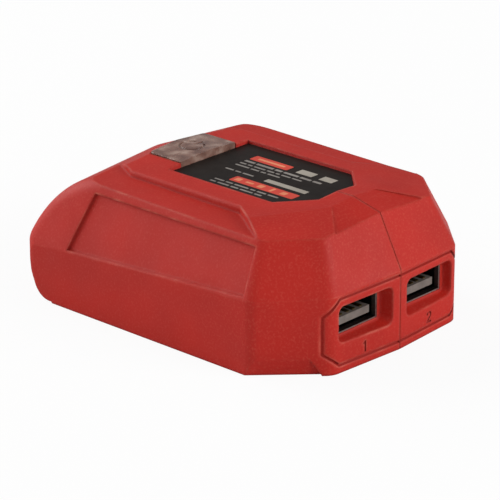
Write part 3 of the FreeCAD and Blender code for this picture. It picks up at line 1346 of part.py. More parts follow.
os.makedirs("parts", exist_ok=True)
for piece in pieces:
    piece.Shape.exportStep(f"parts/{piece.Label}.step")
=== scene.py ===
import math

import bmesh
import bpy
from mathutils import Matrix, Vector


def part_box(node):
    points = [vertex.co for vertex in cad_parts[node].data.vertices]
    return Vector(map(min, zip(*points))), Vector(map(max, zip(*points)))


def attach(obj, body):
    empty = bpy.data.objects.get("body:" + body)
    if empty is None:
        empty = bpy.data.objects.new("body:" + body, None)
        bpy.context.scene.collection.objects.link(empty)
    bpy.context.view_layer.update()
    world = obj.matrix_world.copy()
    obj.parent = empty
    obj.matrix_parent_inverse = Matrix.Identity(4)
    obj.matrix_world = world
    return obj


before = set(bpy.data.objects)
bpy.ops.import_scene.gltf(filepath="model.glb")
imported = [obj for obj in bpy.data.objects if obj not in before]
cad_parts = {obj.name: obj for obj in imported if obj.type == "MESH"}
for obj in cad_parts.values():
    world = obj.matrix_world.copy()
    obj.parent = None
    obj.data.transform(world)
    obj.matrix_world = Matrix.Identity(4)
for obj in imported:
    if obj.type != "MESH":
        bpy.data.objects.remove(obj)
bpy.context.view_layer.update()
scene = bpy.context.scene
scene.view_settings.view_transform = "Standard"


# Camera. It stands in front of the left corner of the port face and looks down on the
# adapter through a long lens, so that the body hardly tapers with distance.

CAMERA_PLACE = (-0.46309, -0.42535, 0.26131)
CAMERA_AZIMUTH = -47.31
CAMERA_ELEVATION = 21.57
CAMERA_ROLL = -0.18
FILM_WIDTH_MM = 36
LENS_LENGTH_MM = 201.6
FAR_LIMIT = 20
lens = bpy.data.cameras.new("camera")
lens.sensor_width = FILM_WIDTH_MM
lens.lens = LENS_LENGTH_MM
lens.clip_end = FAR_LIMIT
camera = bpy.data.objects.new("camera", lens)
scene.collection.objects.link(camera)
turn = (Matrix.Rotation(math.radians(CAMERA_AZIMUTH), 4, "Z")
        @ Matrix.Rotation(math.radians(90 - CAMERA_ELEVATION), 4, "X")
        @ Matrix.Rotation(math.radians(CAMERA_ROLL), 4, "Z"))
camera.matrix_world = Matrix.Translation(CAMERA_PLACE) @ turn
scene.camera = camera


# Table and backdrop. A pale sheet of paper that shows as white and keeps a faint shadow
# under the adapter, in a room with white walls and four large soft lamps.

MM = 0.001


def tint(hex_colour):
    """An sRGB hex colour as linear red, green, blue and alpha."""
    parts = [int(hex_colour[start:start + 2], 16) / 255 for start in (1, 3, 5)]
    return [part / 12.92 if part <= 0.04045 else ((part + 0.055) / 1.055) ** 2.4
            for part in parts] + [1]


def add(tree, kind, settings, sockets, stops=()):
    """Adds a node with its settings, its sockets as numbers, colours or links, and a
    ramp's stops as pairs of a place and a hex colour."""
    fresh = tree.nodes.new("ShaderNode" + kind)
    for name, value in settings.items():
        setattr(fresh, name, value)
    for name, value in sockets.items():
        if isinstance(value, bpy.types.NodeSocket):
            tree.links.new(value, fresh.inputs[name])
        else:
            fresh.inputs[name].default_value = value
    while stops and len(fresh.color_ramp.elements) < len(stops):
        fresh.color_ramp.elements.new(0.5)
    for number, (place, hex_colour) in enumerate(stops):
        fresh.color_ramp.elements[number].position = place
        fresh.color_ramp.elements[number].color = tint(hex_colour)
    return fresh


PAPER_HALF = 3.0
PAPER_GAP = 0.1 * MM
PAPER_GLOW = 0.93
PAPER_WHITE = "#E8E8E8"
paper_mesh = bpy.data.meshes.new("paper")
paper_form = bmesh.new()
bmesh.ops.create_grid(paper_form, x_segments=1, y_segments=1, size=PAPER_HALF)
bmesh.ops.translate(paper_form, verts=paper_form.verts, vec=(0, 0, -PAPER_GAP))
paper_form.to_mesh(paper_mesh)
paper_form.free()
paper = bpy.data.objects.new("paper", paper_mesh)
scene.collection.objects.link(paper)

# Matt white paper. Straight to the camera, and through clear plastic, it mostly glows an
# even white, so that only a little of the shadow is left.
paper_white = bpy.data.materials.new("white_paper")
paper_white.use_nodes = True
tree = paper_white.node_tree
tree.nodes.clear()
ray = add(tree, "LightPath", {}, {})
direct = add(tree, "Math", {"operation": "MAXIMUM"}, {
    0: ray.outputs["Is Camera Ray"], 1: ray.outputs["Is Transmission Ray"]})
share = add(tree, "Math", {"operation": "MULTIPLY"}, {0: direct.outputs[0], 1: PAPER_GLOW})
matt = add(tree, "BsdfDiffuse", {}, {"Color": tint(PAPER_WHITE)})
glow = add(tree, "Emission", {}, {"Color": (1, 1, 1, 1), "Strength": 1.0})
blend = add(tree, "MixShader", {}, {
    "Fac": share.outputs[0], 1: matt.outputs[0], 2: glow.outputs[0]})
add(tree, "OutputMaterial", {}, {"Surface": blend.outputs[0]})
paper.data.materials.append(paper_white)

# The room gives a weak even light, and shows as white behind the adapter.
ROOM_LIGHT = 0.34
world = bpy.data.worlds.new("studio")
scene.world = world
world.use_nodes = True
tree = world.node_tree
tree.nodes.clear()
ray = add(tree, "LightPath", {}, {})
direct = add(tree, "Math", {"operation": "MAXIMUM"}, {
    0: ray.outputs["Is Camera Ray"], 1: ray.outputs["Is Transmission Ray"]})
room = add(tree, "Background", {}, {"Color": (1, 1, 1, 1), "Strength": ROOM_LIGHT})
backdrop = add(tree, "Background", {}, {"Color": (1, 1, 1, 1), "Strength": 1.0})
mixed = add(tree, "MixShader", {}, {
    "Fac": direct.outputs[0], 1: room.outputs[0], 2: backdrop.outputs[0]})
add(tree, "OutputWorld", {}, {"Surface": mixed.outputs[0]})

# Lamps. A large soft lamp in front and to the right, a weaker one above and behind the
# tail, one behind the left side and a faint one beside the camera that opens the shadows.
# Each is a place, the side of its square and its power, and all point at the body's middle.
LAMP_AIM = (0, 0, 15 * MM)
LAMPS = {
    "key_lamp": ((0.45, -1.30, 0.58), 0.8, 15.0),
    "top_lamp": ((-0.20, 1.15, 0.78), 1.0, 12.5),
    "left_lamp": ((-1.00, 0.95, 0.50), 0.9, 4.6),
    "fill_lamp": ((-1.15, -0.80, 0.75), 1.0, 2.2),
}
for name, (place, side, power) in LAMPS.items():
    lamp = bpy.data.lights.new(name, "AREA")
    lamp.size = side
    lamp.energy = power
    lamp_object = bpy.data.objects.new(name, lamp)
    scene.collection.objects.link(lamp_object)
    aim = Vector(LAMP_AIM) - Vector(place)
    lamp_object.matrix_world = (Matrix.Translation(place)
                                @ aim.to_track_quat("-Z", "Y").to_matrix().to_4x4())


# Housing halves. Two mouldings in red glass-filled nylon that meet along the middle and
# are screwed together. The mould was spark-eroded, so the plastic is matt with a fine
# grain, and its edges are soft and a little paler, partly from handling and partly as painted
# highlight.

def surface(name):
    """A new material, its tree and its object coordinates."""
    material = bpy.data.materials.new(name)
    material.use_nodes = True
    fresh_tree = material.node_tree
    fresh_tree.nodes.clear()
    spot = add(fresh_tree, "TexCoord", {}, {}).outputs["Object"]
    return material, fresh_tree, spot


def dress(material, *nodes):
    """Gives CAD pieces their material."""
    for node in nodes:
        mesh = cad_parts[node].data
        mesh.materials.clear()
        mesh.materials.append(material)


def new_piece(name, form, material, body):
    """Makes a bmesh an object of its own that rides on a body."""
    mesh = bpy.data.meshes.new(name)
    form.to_mesh(mesh)
    form.free()
    mesh.materials.append(material)
    piece = bpy.data.objects.new(name, mesh)
    scene.collection.objects.link(piece)
    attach(piece, body)
    return piece


# Spark-eroded nylon: a matt, slightly waxy red with faint mottling from the glass filling,
# a fine grain with pale specks of fibre, painted shade that darkens the red in grooves and
# hollows, and pale edges with small scuffs that are partly wear and partly painted highlight.
# Noise has about two blotches to a unit, so half over a real size draws blotches of that
# size.
# The real grit is about 0.08 mm and is drawn coarser so that it shows.
RED = "#B52015"
RED_DEEP = "#AB1E14"
# A darker red laid in as painted shade where the ambient occlusion finds grooves and hollows.
RED_PAINTED_SHADE = "#A52219"
# A pale red for the fibre specks, and for the edges, where it is partly wear and partly
# painted highlight.
RED_PALE_WEAR_FIBRE_AND_HIGHLIGHT = "#D06856"
EDGE_ROUND = 1.0 * MM
BLOTCH = 9 * MM
SHEEN_PATCH = 4 * MM
SCUFF = 2.6 * MM
GRIT = 0.24 * MM
GRIT_DEPTH = 0.06 * MM
SPECK = 0.26 * MM
GROOVE_REACH = 1.2 * MM
ROUGH_LEAST = 0.52
ROUGH_MOST = 0.6
housing_red, tree, spot = surface("red_nylon_eroded")
soft = add(tree, "Bevel", {"samples": 6}, {"Radius": EDGE_ROUND})
true_face = add(tree, "NewGeometry", {}, {})
flatness = add(tree, "VectorMath", {"operation": "DOT_PRODUCT"}, {
    0: soft.outputs["Normal"], 1: true_face.outputs["Normal"]})
blotches = add(tree, "TexNoise", {}, {"Vector": spot, "Scale": 0.5 / BLOTCH})
mottle = add(tree, "ValToRGB", {}, {"Fac": blotches.outputs["Fac"]},
             [(0.35, RED_DEEP), (0.65, RED)])
nicks = add(tree, "TexNoise", {}, {"Vector": spot, "Scale": 0.5 / SCUFF, "Detail": 4.0})
scuffs = add(tree, "MapRange", {}, {
    "Value": nicks.outputs["Fac"], "From Min": 0.5, "From Max": 0.66,
    "To Min": 0.15, "To Max": 0.7})
occlusion_for_shade_and_wear = add(tree, "AmbientOcclusion", {"samples": 8}, {"Distance": GROOVE_REACH})
exposed = add(tree, "MapRange", {}, {
    "Value": occlusion_for_shade_and_wear.outputs["AO"], "From Min": 0.75, "From Max": 0.95})
on_edge = add(tree, "MapRange", {}, {
    "Value": flatness.outputs["Value"], "From Min": 1.0, "From Max": 0.9})
worn = add(tree, "Math", {"operation": "MULTIPLY"}, {
    0: scuffs.outputs["Result"], 1: exposed.outputs["Result"]})
# The pale edge mark is partly wear and partly painted highlight along the soft edges.
edge_wear_and_highlight = add(tree, "Math", {"operation": "MULTIPLY"}, {
    0: worn.outputs[0], 1: on_edge.outputs["Result"]})
edges_worn_and_highlit = add(tree, "Mix", {"data_type": "RGBA"}, {
    "Factor": edge_wear_and_highlight.outputs[0], "A": mottle.outputs["Color"], "B": tint(RED_PALE_WEAR_FIBRE_AND_HIGHLIGHT)})
flecks = add(tree, "TexNoise", {}, {"Vector": spot, "Scale": 0.5 / SPECK, "Detail": 1.0})
fibre = add(tree, "MapRange", {}, {
    "Value": flecks.outputs["Fac"], "From Min": 0.5, "From Max": 0.75, "To Max": 0.14})
flecked = add(tree, "Mix", {"data_type": "RGBA"}, {
    "Factor": fibre.outputs["Result"], "A": edges_worn_and_highlit.outputs["Result"], "B": tint(RED_PALE_WEAR_FIBRE_AND_HIGHLIGHT)})
# Painted shade: where the ambient occlusion finds a groove or hollow, the red is darkened.
painted_shade_mask = add(tree, "MapRange", {}, {
    "Value": occlusion_for_shade_and_wear.outputs["AO"], "From Min": 0.7, "From Max": 0.25})
with_painted_shade = add(tree, "Mix", {"data_type": "RGBA"}, {
    "Factor": painted_shade_mask.outputs["Result"], "A": flecked.outputs["Result"], "B": tint(RED_PAINTED_SHADE)})
grit = add(tree, "TexNoise", {}, {"Vector": spot, "Scale": 0.5 / GRIT})
pits = add(tree, "Bump", {}, {
    "Height": grit.outputs["Fac"], "Strength": 0.25, "Distance": GRIT_DEPTH,
    "Normal": soft.outputs["Normal"]})
patches = add(tree, "TexNoise", {}, {"Vector": spot, "Scale": 0.5 / SHEEN_PATCH})
gloss = add(tree, "MapRange", {}, {
    "Value": patches.outputs["Fac"], "From Min": 0.3, "From Max": 0.7,
    "To Min": ROUGH_LEAST, "To Max": ROUGH_MOST})
skin = add(tree, "BsdfPrincipled", {}, {
    "Base Color": with_painted_shade.outputs["Result"], "Roughness": gloss.outputs["Result"],
    "IOR": 1.53, "Specular IOR Level": 0.22, "Normal": pits.outputs["Normal"]})
add(tree, "OutputMaterial", {}, {"Surface": skin.outputs["BSDF"]})
dress(housing_red, "left_housing", "right_housing")

# Seam tongue. A low rib on the joint face of the left half enters the right half all along
# the wall, so that no light passes along the seam. It stops short of the wall's two faces.
SEAM_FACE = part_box("left_housing")[1][0]
SEAM_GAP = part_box("right_housing")[0][0] - SEAM_FACE
TONGUE_SETBACK = 0.35 * MM
TONGUE_CLEAR = 0.01 * MM
# How near the joint face a corner counts as on it, how near each other two corners are
# welded, and the angle in radians up to which neighbouring triangles count as flat.
ON_THE_FACE = 0.01 * MM
WELD = 0.001 * MM
FLAT_WITHIN = 0.01
tongue_form = bmesh.new()
tongue_form.from_mesh(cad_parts["left_housing"].data)
bmesh.ops.remove_doubles(tongue_form, verts=tongue_form.verts, dist=WELD)
elsewhere = [face for face in tongue_form.faces
             if any(vert.co.x < SEAM_FACE - ON_THE_FACE for vert in face.verts)]
bmesh.ops.delete(tongue_form, geom=elsewhere, context="FACES")
bmesh.ops.dissolve_limit(tongue_form, angle_limit=FLAT_WITHIN, verts=tongue_form.verts,
                         edges=tongue_form.edges)
margin = bmesh.ops.inset_region(tongue_form, faces=tongue_form.faces, use_boundary=True,
                                use_even_offset=True, thickness=TONGUE_SETBACK)["faces"]
bmesh.ops.delete(tongue_form, geom=margin, context="FACES")
raised = bmesh.ops.extrude_face_region(tongue_form, geom=tongue_form.faces[:])["geom"]
bmesh.ops.translate(tongue_form, vec=(SEAM_GAP - TONGUE_CLEAR, 0, 0),
                    verts=[item for item in raised if isinstance(item, bmesh.types.BMVert)])
bmesh.ops.recalc_face_normals(tongue_form, faces=tongue_form.faces)
new_piece("seam_tongue", tongue_form, housing_red, "housing")


# Rating label. A die-cut polyester film with a satin black print, stuck in its recess.
# The printed blocks and lines are plain shapes and say nothing.

ROUGH_SWING = 0.05


def plain_finish(name, dark, light, patch, rough, grit, relief, extras=None):
    """A material mottled between two colours, with uneven gloss and a fine relief. Its
    patches and grit are real sizes, its gloss changes over a third of a patch, and extras
    are further sockets of the shader."""
    material, fresh_tree, where = surface(name)
    cloud = add(fresh_tree, "TexNoise", {}, {"Vector": where, "Scale": 0.5 / patch})
    mottled = add(fresh_tree, "ValToRGB", {}, {"Fac": cloud.outputs["Fac"]},
                  [(0.3, dark), (0.7, light)])
    smears = add(fresh_tree, "TexNoise", {}, {"Vector": where, "Scale": 1.5 / patch})
    uneven = add(fresh_tree, "MapRange", {}, {
        "Value": smears.outputs["Fac"], "From Min": 0.3, "From Max": 0.7,
        "To Min": rough - ROUGH_SWING, "To Max": rough + ROUGH_SWING})
    grains = add(fresh_tree, "TexNoise", {}, {"Vector": where, "Scale": 0.5 / grit})
    fine = add(fresh_tree, "Bump", {}, {
        "Height": grains.outputs["Fac"], "Strength": 0.4, "Distance": relief})
    shader = add(fresh_tree, "BsdfPrincipled", {}, {
        "Base Color": mottled.outputs["Color"], "Roughness": uneven.outputs["Result"],
        "Normal": fine.outputs["Normal"], **(extras or {})})
    add(fresh_tree, "OutputMaterial", {}, {"Surface": shader.outputs["BSDF"]})
    return material


# Varnished film: a warm satin black with a faint orange peel.
film_black = plain_finish("black_varnished_film", "#17110E", "#1F1713", 6 * MM, 0.48,
                          0.2 * MM, 0.01 * MM, {"IOR": 1.5, "Specular IOR Level": 0.12})
dress(film_black, "rating_label")

label_low, label_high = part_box("rating_label")
LABEL_TOP = label_high[2]
LABEL_MIDDLE = (label_low[1] + label_high[1]) / 2
INK = 0.02 * MM


def plate(form, along, across, length, height, corner, foot):
    """One printed block on the label, with round corners. Along runs towards the ports,
    as a line is read, and across runs to the right side of the adapter."""
    centre = (across, LABEL_MIDDLE - along, foot)
    fresh = bmesh.ops.create_grid(form, x_segments=1, y_segments=1, size=0.5)["verts"]
    bmesh.ops.scale(form, verts=fresh, vec=(height, length, 1))
    bmesh.ops.translate(form, verts=fresh, vec=centre)
    rounded = bmesh.ops.bevel(form, geom=fresh, offset=corner, affect="VERTICES", segments=3,
                              profile=0.5, material=-1)["verts"]
    faces = list({face for vert in rounded for face in vert.link_faces})
    walls = bmesh.ops.extrude_face_region(form, geom=faces)["geom"]
    raised = [item for item in walls if isinstance(item, bmesh.types.BMVert)]
    bmesh.ops.translate(form, verts=raised, vec=(0, 0, INK))


def print_layer(name, blocks, corner, material, inks_below=0):
    """All blocks of one ink, each as along, across, length and height in millimetres."""
    form = bmesh.new()
    for along, across, length, height in blocks:
        plate(form, along * MM, across * MM, length * MM, height * MM, corner,
              LABEL_TOP + inks_below * INK)
    bmesh.ops.recalc_face_normals(form, faces=form.faces)
    new_piece(name, form, material, "housing")


# Screen inks: flat and slightly chalky, with the mesh of the screen as a faint grain. Red
# and pale grey blocks, orange marks in the red, and greeked lines.
INK_PATCH = 3 * MM
INK_GRAIN = 0.15 * MM
INK_RELIEF = 0.01 * MM
ink_red = plain_finish("red_screen_ink", "#C2311D", "#D43F28", INK_PATCH, 0.42,
                       INK_GRAIN, INK_RELIEF)
ink_grey = plain_finish("grey_screen_ink", "#928A7F", "#A9A195", INK_PATCH, 0.45,
                        INK_GRAIN, INK_RELIEF)
ink_orange = plain_finish("orange_screen_ink", "#D9764F", "#E58E66", INK_PATCH, 0.42,
                          INK_GRAIN, INK_RELIEF)
ink_line = plain_finish("grey_line_ink", "#77706B", "#8F8882", INK_PATCH, 0.45,
                        INK_GRAIN, INK_RELIEF)
BAR_CORNER = 0.4 * MM
RED_BARS = [(-6.5, 7.2, 12.0, 3.0), (3.6, -6.6, 20.0, 3.2)]
print_layer("label_print_red", RED_BARS, BAR_CORNER, ink_red)
BLOCK_CORNER = 0.1 * MM
GREY_BLOCKS = [(4.6, 7.4, 5.0, 2.6), (11.4, 7.4, 4.0, 2.6), (7.0, -2.6, 13.0, 1.8)]
print_layer("label_print_grey", GREY_BLOCKS, BLOCK_CORNER, ink_grey)
MARK_CORNER = 0.2 * MM
MARK_ACROSS = -6.6
MARK_START = -4.6
MARK_STEP = 3.6
MARK_SIZES = ((1.7, 1.7), (2.4, 0.8), (1.7, 1.7), (0.8, 2.2), (1.7, 1.7))
ORANGE_DASH = (-6.5, 7.2, 8.5, 0.9)
orange_marks = [(MARK_START + MARK_STEP * number, MARK_ACROSS, length, height)
                for number, (length, height) in enumerate(MARK_SIZES)]
print_layer("label_print_orange", orange_marks + [ORANGE_DASH], MARK_CORNER, ink_orange,
            inks_below=1)
WORD_CORNER = 0.15 * MM
# Each greeked line is a row of words, in millimetres: its place across, its start, its
# height and its words' lengths.
LINES = [
    (4.3, -12.5, 0.9, (3.2, 5.4, 2.2, 4.6, 3.4, 2.6)),
    (2.5, -12.5, 0.6, (2.0, 1.4, 3.6, 2.2, 1.2, 2.8, 3.0)),
    (0.9, -12.5, 0.6, (4.4, 2.6, 1.6, 3.8)),
    (-2.6, -12.5, 0.6, (2.6, 1.8, 3.4)),
    (-9.6, -9.5, 0.6, (3.0, 2.2, 4.4, 1.6, 2.8, 3.2)),
    (-11.2, -9.5, 0.6, (1.8, 3.6, 2.4, 4.0, 2.2)),
]
WORD_GAP = 0.6
words = []
for across, start, height, lengths in LINES:
    for length in lengths:
        words.append((start + length / 2, across, length, height))
        start += length + WORD_GAP
print_layer("label_print_lines", words, WORD_CORNER, ink_line)


# Power button. A smoky translucent polycarbonate cap, polished outside and lightly
# frosted inside, that slides in the top and is lit from below. A flange holds it in.

# Polished smoky polycarbonate: cloudy brownish grey, into which light gets some way, with
# finger marks that vary its gloss and the soft ripple of a thick moulding.
CLOUD = 1.6 * MM
CAP_EDGE = 0.25 * MM
CAP_RIPPLE = 1.1 * MM
CAP_RIPPLE_DEPTH = 0.1 * MM
FINGER_MARK = 2 * MM
button_smoky, tree, spot = surface("smoky_polycarbonate_polished")
smoke = add(tree, "TexNoise", {}, {"Vector": spot, "Scale": 0.5 / CLOUD, "Detail": 3.0})
smoke_colour = add(tree, "ValToRGB", {}, {"Fac": smoke.outputs["Fac"]},
                   [(0.35, "#775045"), (0.55, "#9B7466"), (0.75, "#C6A798")])
soft = add(tree, "Bevel", {"samples": 6}, {"Radius": CAP_EDGE})
swell = add(tree, "TexNoise", {}, {"Vector": spot, "Scale": 0.5 / CAP_RIPPLE})
ripple = add(tree, "Bump", {}, {
    "Height": swell.outputs["Fac"], "Strength": 0.2, "Distance": CAP_RIPPLE_DEPTH,
    "Normal": soft.outputs["Normal"]})
marks = add(tree, "TexNoise", {}, {"Vector": spot, "Scale": 0.5 / FINGER_MARK})
gloss = add(tree, "MapRange", {}, {
    "Value": marks.outputs["Fac"], "From Min": 0.3, "From Max": 0.7,
    "To Min": 0.16, "To Max": 0.34})
skin = add(tree, "BsdfPrincipled", {}, {
    "Base Color": smoke_colour.outputs["Color"], "Roughness": gloss.outputs["Result"],
    "IOR": 1.58, "Transmission Weight": 0.35, "Normal": ripple.outputs["Normal"]})
add(tree, "OutputMaterial", {}, {"Surface": skin.outputs["BSDF"]})
dress(button_smoky, "power_button")


# Tactile switch under the button. A black nylon body with a stamped cover, four tinned
# feet and a white plunger that the button's stem pushes down.

# Moulded nylon: black and dull, with a faint grain.
nylon_black = plain_finish("black_nylon_moulded", "#161616", "#202021", 2 * MM, 0.48,
                           0.1 * MM, 0.02 * MM, {"IOR": 1.53})
dress(nylon_black, "switch_body")
# Moulded acetal: off-white, smooth and slightly waxy, with light just under its skin.
acetal_white = plain_finish("white_acetal_moulded", "#C9C7C0", "#D8D6D0", 2 * MM, 0.32,
                            0.1 * MM, 0.01 * MM, {"IOR": 1.48, "Subsurface Weight": 0.1,
                                                  "Subsurface Scale": 0.5 * MM})
dress(acetal_white, "switch_plunger")
# Stamped spring steel: bright, with soft rolling marks.
steel_stamped = plain_finish("stainless_steel_stamped", "#9A9892", "#B4B2AC", 0.8 * MM, 0.3,
                             0.1 * MM, 0.01 * MM, {"Metallic": 1.0})
dress(steel_stamped, "switch_cover")
# Tinned brass: silvery and satin, where the tin has flowed unevenly.
tin_plated = plain_finish("brass_tin_plated", "#B9B5AC", "#CDC9C1", 1.2 * MM, 0.34,
                          0.12 * MM, 0.01 * MM, {"Metallic": 1.0})
dress(tin_plated, "switch_terminals")


# USB receptacles. Each has a folded shell of nickel-plated steel with flared lips, a
# moulded insulator with a tongue, and four gold-flashed spring contacts on it.

# Nickel-plated steel: rolled marks along the shell. Past a thin rim at the mouth its colour
# is darkened as painted shade for the deep inside of the shell, so only the cut edge of the
# lip shows the bright metal.
SHELL_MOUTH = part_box("usb_shell_left")[0][1]
BRIGHT_EDGE = 0.12 * MM
ROLL_MARK = 1.5 * MM
ROLL_STRETCH = (6, 1, 6)
shell_nickel, tree, spot = surface("steel_nickel_plated")
rolled = add(tree, "Mapping", {}, {"Vector": spot, "Scale": ROLL_STRETCH})
depth = add(tree, "SeparateXYZ", {}, {"Vector": spot})
# Painted shade: past a thin rim at the mouth, the whole shell takes the dark colour.
painted_shade_past_rim = add(tree, "MapRange", {}, {
    "Value": depth.outputs["Y"], "From Min": SHELL_MOUTH,
    "From Max": SHELL_MOUTH + BRIGHT_EDGE})
rolling = add(tree, "TexNoise", {}, {
    "Vector": rolled.outputs["Vector"], "Scale": 0.5 / ROLL_MARK})
edge_metal = add(tree, "ValToRGB", {}, {"Fac": rolling.outputs["Fac"]},
                 [(0.3, "#8B8782"), (0.7, "#A8A49E")])
painted_shade_metal = add(tree, "ValToRGB", {}, {"Fac": rolling.outputs["Fac"]},
                 [(0.3, "#242220"), (0.7, "#34312E")])
shell_colour = add(tree, "Mix", {"data_type": "RGBA"}, {
    "Factor": painted_shade_past_rim.outputs["Result"], "A": edge_metal.outputs["Color"],
    "B": painted_shade_metal.outputs["Color"]})
fine_rolling = add(tree, "TexNoise", {}, {
    "Vector": rolled.outputs["Vector"], "Scale": 1.5 / ROLL_MARK})
gloss = add(tree, "MapRange", {}, {
    "Value": fine_rolling.outputs["Fac"], "From Min": 0.3, "From Max": 0.7,
    "To Min": 0.3, "To Max": 0.45})
skin = add(tree, "BsdfPrincipled", {}, {
    "Base Color": shell_colour.outputs["Result"], "Metallic": 1.0,
    "Roughness": gloss.outputs["Result"]})
add(tree, "OutputMaterial", {}, {"Surface": skin.outputs["BSDF"]})
# Moulded liquid-crystal polymer: warm grey and chalky, with short flow marks.
tongue_polymer = plain_finish("liquid_crystal_polymer_moulded", "#5F5852", "#746C65",
                              1.2 * MM, 0.5, 0.12 * MM, 0.02 * MM, {"IOR": 1.6})
# Gold flash over bronze: thin, so it is brownish and dull.
contact_gold = plain_finish("bronze_gold_flashed", "#5C4A2A", "#74603A", 0.8 * MM, 0.4,
                            0.1 * MM, 0.01 * MM, {"Metallic": 1.0})
for side in ("left", "right"):
    dress(shell_nickel, f"usb_shell_{side}")
    dress(tongue_polymer, f"usb_insulator_{side}")
    dress(contact_gold, f"usb_contacts_{side}")


# Battery terminals. Three stamped blades of tinned brass stand in a block of black
# glass-filled nylon that drops through the ceiling of the battery channel.

dress(tin_plated, "blade_positive", "blade_sense", "blade_negative")
# Moulded glass-filled nylon: coarser and greyer than the switch, with pale fibre flecks.
nylon_filled = plain_finish("glass_filled_nylon_moulded", "#1B1B1C", "#2A2A2B", 1.0 * MM,
                            0.55, 0.15 * MM, 0.03 * MM, {"IOR": 1.53})
dress(nylon_filled, "terminal_block")


# Main board. Glass-epoxy laminate under a green solder mask, screwed to four posts. The
# tails of the receptacles and blades are soldered in it.

# Printed solder mask: glossy green, darker over bare laminate and lighter over the copper
# below it.
TRACK_PITCH = 2.6 * MM
MASK_PATCH = 3 * MM
board_green, tree, spot = surface("green_solder_mask_printed")
cells = add(tree, "TexVoronoi", {"feature": "DISTANCE_TO_EDGE"}, {
    "Vector": spot, "Scale": 1 / TRACK_PITCH, "Randomness": 0.6})
copper = add(tree, "ValToRGB", {}, {"Fac": cells.outputs["Distance"]},
             [(0.05, "#0C3319"), (0.09, "#1B5A2F")])
flow = add(tree, "TexNoise", {}, {"Vector": spot, "Scale": 0.5 / MASK_PATCH})
gloss = add(tree, "MapRange", {}, {
    "Value": flow.outputs["Fac"], "From Min": 0.3, "From Max": 0.7,
    "To Min": 0.22, "To Max": 0.34})
skin = add(tree, "BsdfPrincipled", {}, {
    "Base Color": copper.outputs["Color"], "Roughness": gloss.outputs["Result"], "IOR": 1.55})
add(tree, "OutputMaterial", {}, {"Surface": skin.outputs["BSDF"]})
dress(board_green, "main_board")

# Solder. A small bright cone round each tail that comes through the board.
SOLDER_FOOT = 0.9 * MM
SOLDER_TIP = 0.35 * MM
SOLDER_HEIGHT = 0.75 * MM
SOLDER_ROUND = 0.15 * MM
board_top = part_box("main_board")[1][2]
solder_form = bmesh.new()


def solder_cone(x, y, wide):
    """A cone of solder on the board. Wide is its width along the tail, as a share of its
    width across."""
    cone = bmesh.ops.create_cone(solder_form, cap_ends=True, segments=20, radius1=SOLDER_FOOT,
                                 radius2=SOLDER_TIP, depth=SOLDER_HEIGHT)["verts"]
    bmesh.ops.scale(solder_form, verts=cone, vec=(1, wide, 1))
    bmesh.ops.translate(solder_form, verts=cone, vec=(x, y, board_top + SOLDER_HEIGHT / 2))


CONTACTS_ACROSS = (-3.5 * MM, -1.0 * MM, 1.0 * MM, 3.5 * MM)
CONTACT_WIDE = 0.8
BLADE_TAIL = 1.0 * MM
BLADE_WIDE = 1.5
for side in ("left", "right"):
    shell_low, shell_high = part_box(f"usb_shell_{side}")
    middle = (shell_low[0] + shell_high[0]) / 2
    contact_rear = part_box(f"usb_contacts_{side}")[1][1]
    for across in CONTACTS_ACROSS:
        solder_cone(middle + across, contact_rear, CONTACT_WIDE)
for name in ("positive", "sense", "negative"):
    blade_low, blade_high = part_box(f"blade_{name}")
    blade_middle = (blade_low[0] + blade_high[0]) / 2
    solder_cone(blade_middle, blade_low[1] + BLADE_TAIL, BLADE_WIDE)
tip_rings = [edge for edge in solder_form.edges
             if all(vert.co.z > board_top + SOLDER_HEIGHT / 2 for vert in edge.verts)]
bmesh.ops.bevel(solder_form, geom=tip_rings, offset=SOLDER_ROUND, affect="EDGES", segments=2,
                profile=0.5, material=-1)
bmesh.ops.recalc_face_normals(solder_form, faces=solder_form.faces)
# Reflowed solder: bright tin with a slightly crinkled skin.
solder_tin = plain_finish("solder_tin_reflowed", "#B7B6B2", "#CFCECA", 0.5 * MM, 0.25,
                          0.2 * MM, 0.02 * MM, {"Metallic": 1.0})
new_piece("solder_joints", solder_form, solder_tin, "housing")


# Power inductor. A drum of sintered ferrite wound with enamelled copper wire and glued to
# the board.

# Sintered ferrite: dark, dry and slightly porous.
ferrite_dry = plain_finish("ferrite_sintered", "#232325", "#303032", 0.8 * MM, 0.72,
                           0.12 * MM, 0.03 * MM)
dress(ferrite_dry, "inductor_core")

# Enamelled copper: level turns of wire, glossy, with painted shade that darkens the colour
# into a dark line between them. A wave texture has ten turns to a unit over two pi, so its
# scale follows from the wire.
WIRE = 0.62 * MM
WIRE_RELIEF = 0.25 * MM
WIRE_PATCH = 1 * MM
winding, tree, spot = surface("copper_wire_enamelled")
turns = add(tree, "TexWave", {"wave_type": "BANDS", "bands_direction": "Z"}, {
    "Vector": spot, "Scale": math.tau / 20 / WIRE})
# Painted shade: the colour darkens from the crown of each turn into the crevice between
# turns.
wire_colour_painted_shade = add(tree, "ValToRGB", {}, {"Fac": turns.outputs["Fac"]},
                  [(0.05, "#3E190C"), (0.4, "#9A4B24"), (0.9, "#B7633A")])
round_wire = add(tree, "Bump", {}, {
    "Height": turns.outputs["Fac"], "Strength": 1.0, "Distance": WIRE_RELIEF})
enamel = add(tree, "TexNoise", {}, {"Vector": spot, "Scale": 0.5 / WIRE_PATCH})
gloss = add(tree, "MapRange", {}, {
    "Value": enamel.outputs["Fac"], "From Min": 0.3, "From Max": 0.7,
    "To Min": 0.22, "To Max": 0.34})
skin = add(tree, "BsdfPrincipled", {}, {
    "Base Color": wire_colour_painted_shade.outputs["Color"], "Metallic": 0.85,
    "Roughness": gloss.outputs["Result"], "Normal": round_wire.outputs["Normal"]})
add(tree, "OutputMaterial", {}, {"Surface": skin.outputs["BSDF"]})
dress(winding, "inductor_winding")


# Electrolytic capacitors. Two drawn aluminium cans, closed at the foot by a rubber plug
# and soldered to the board.

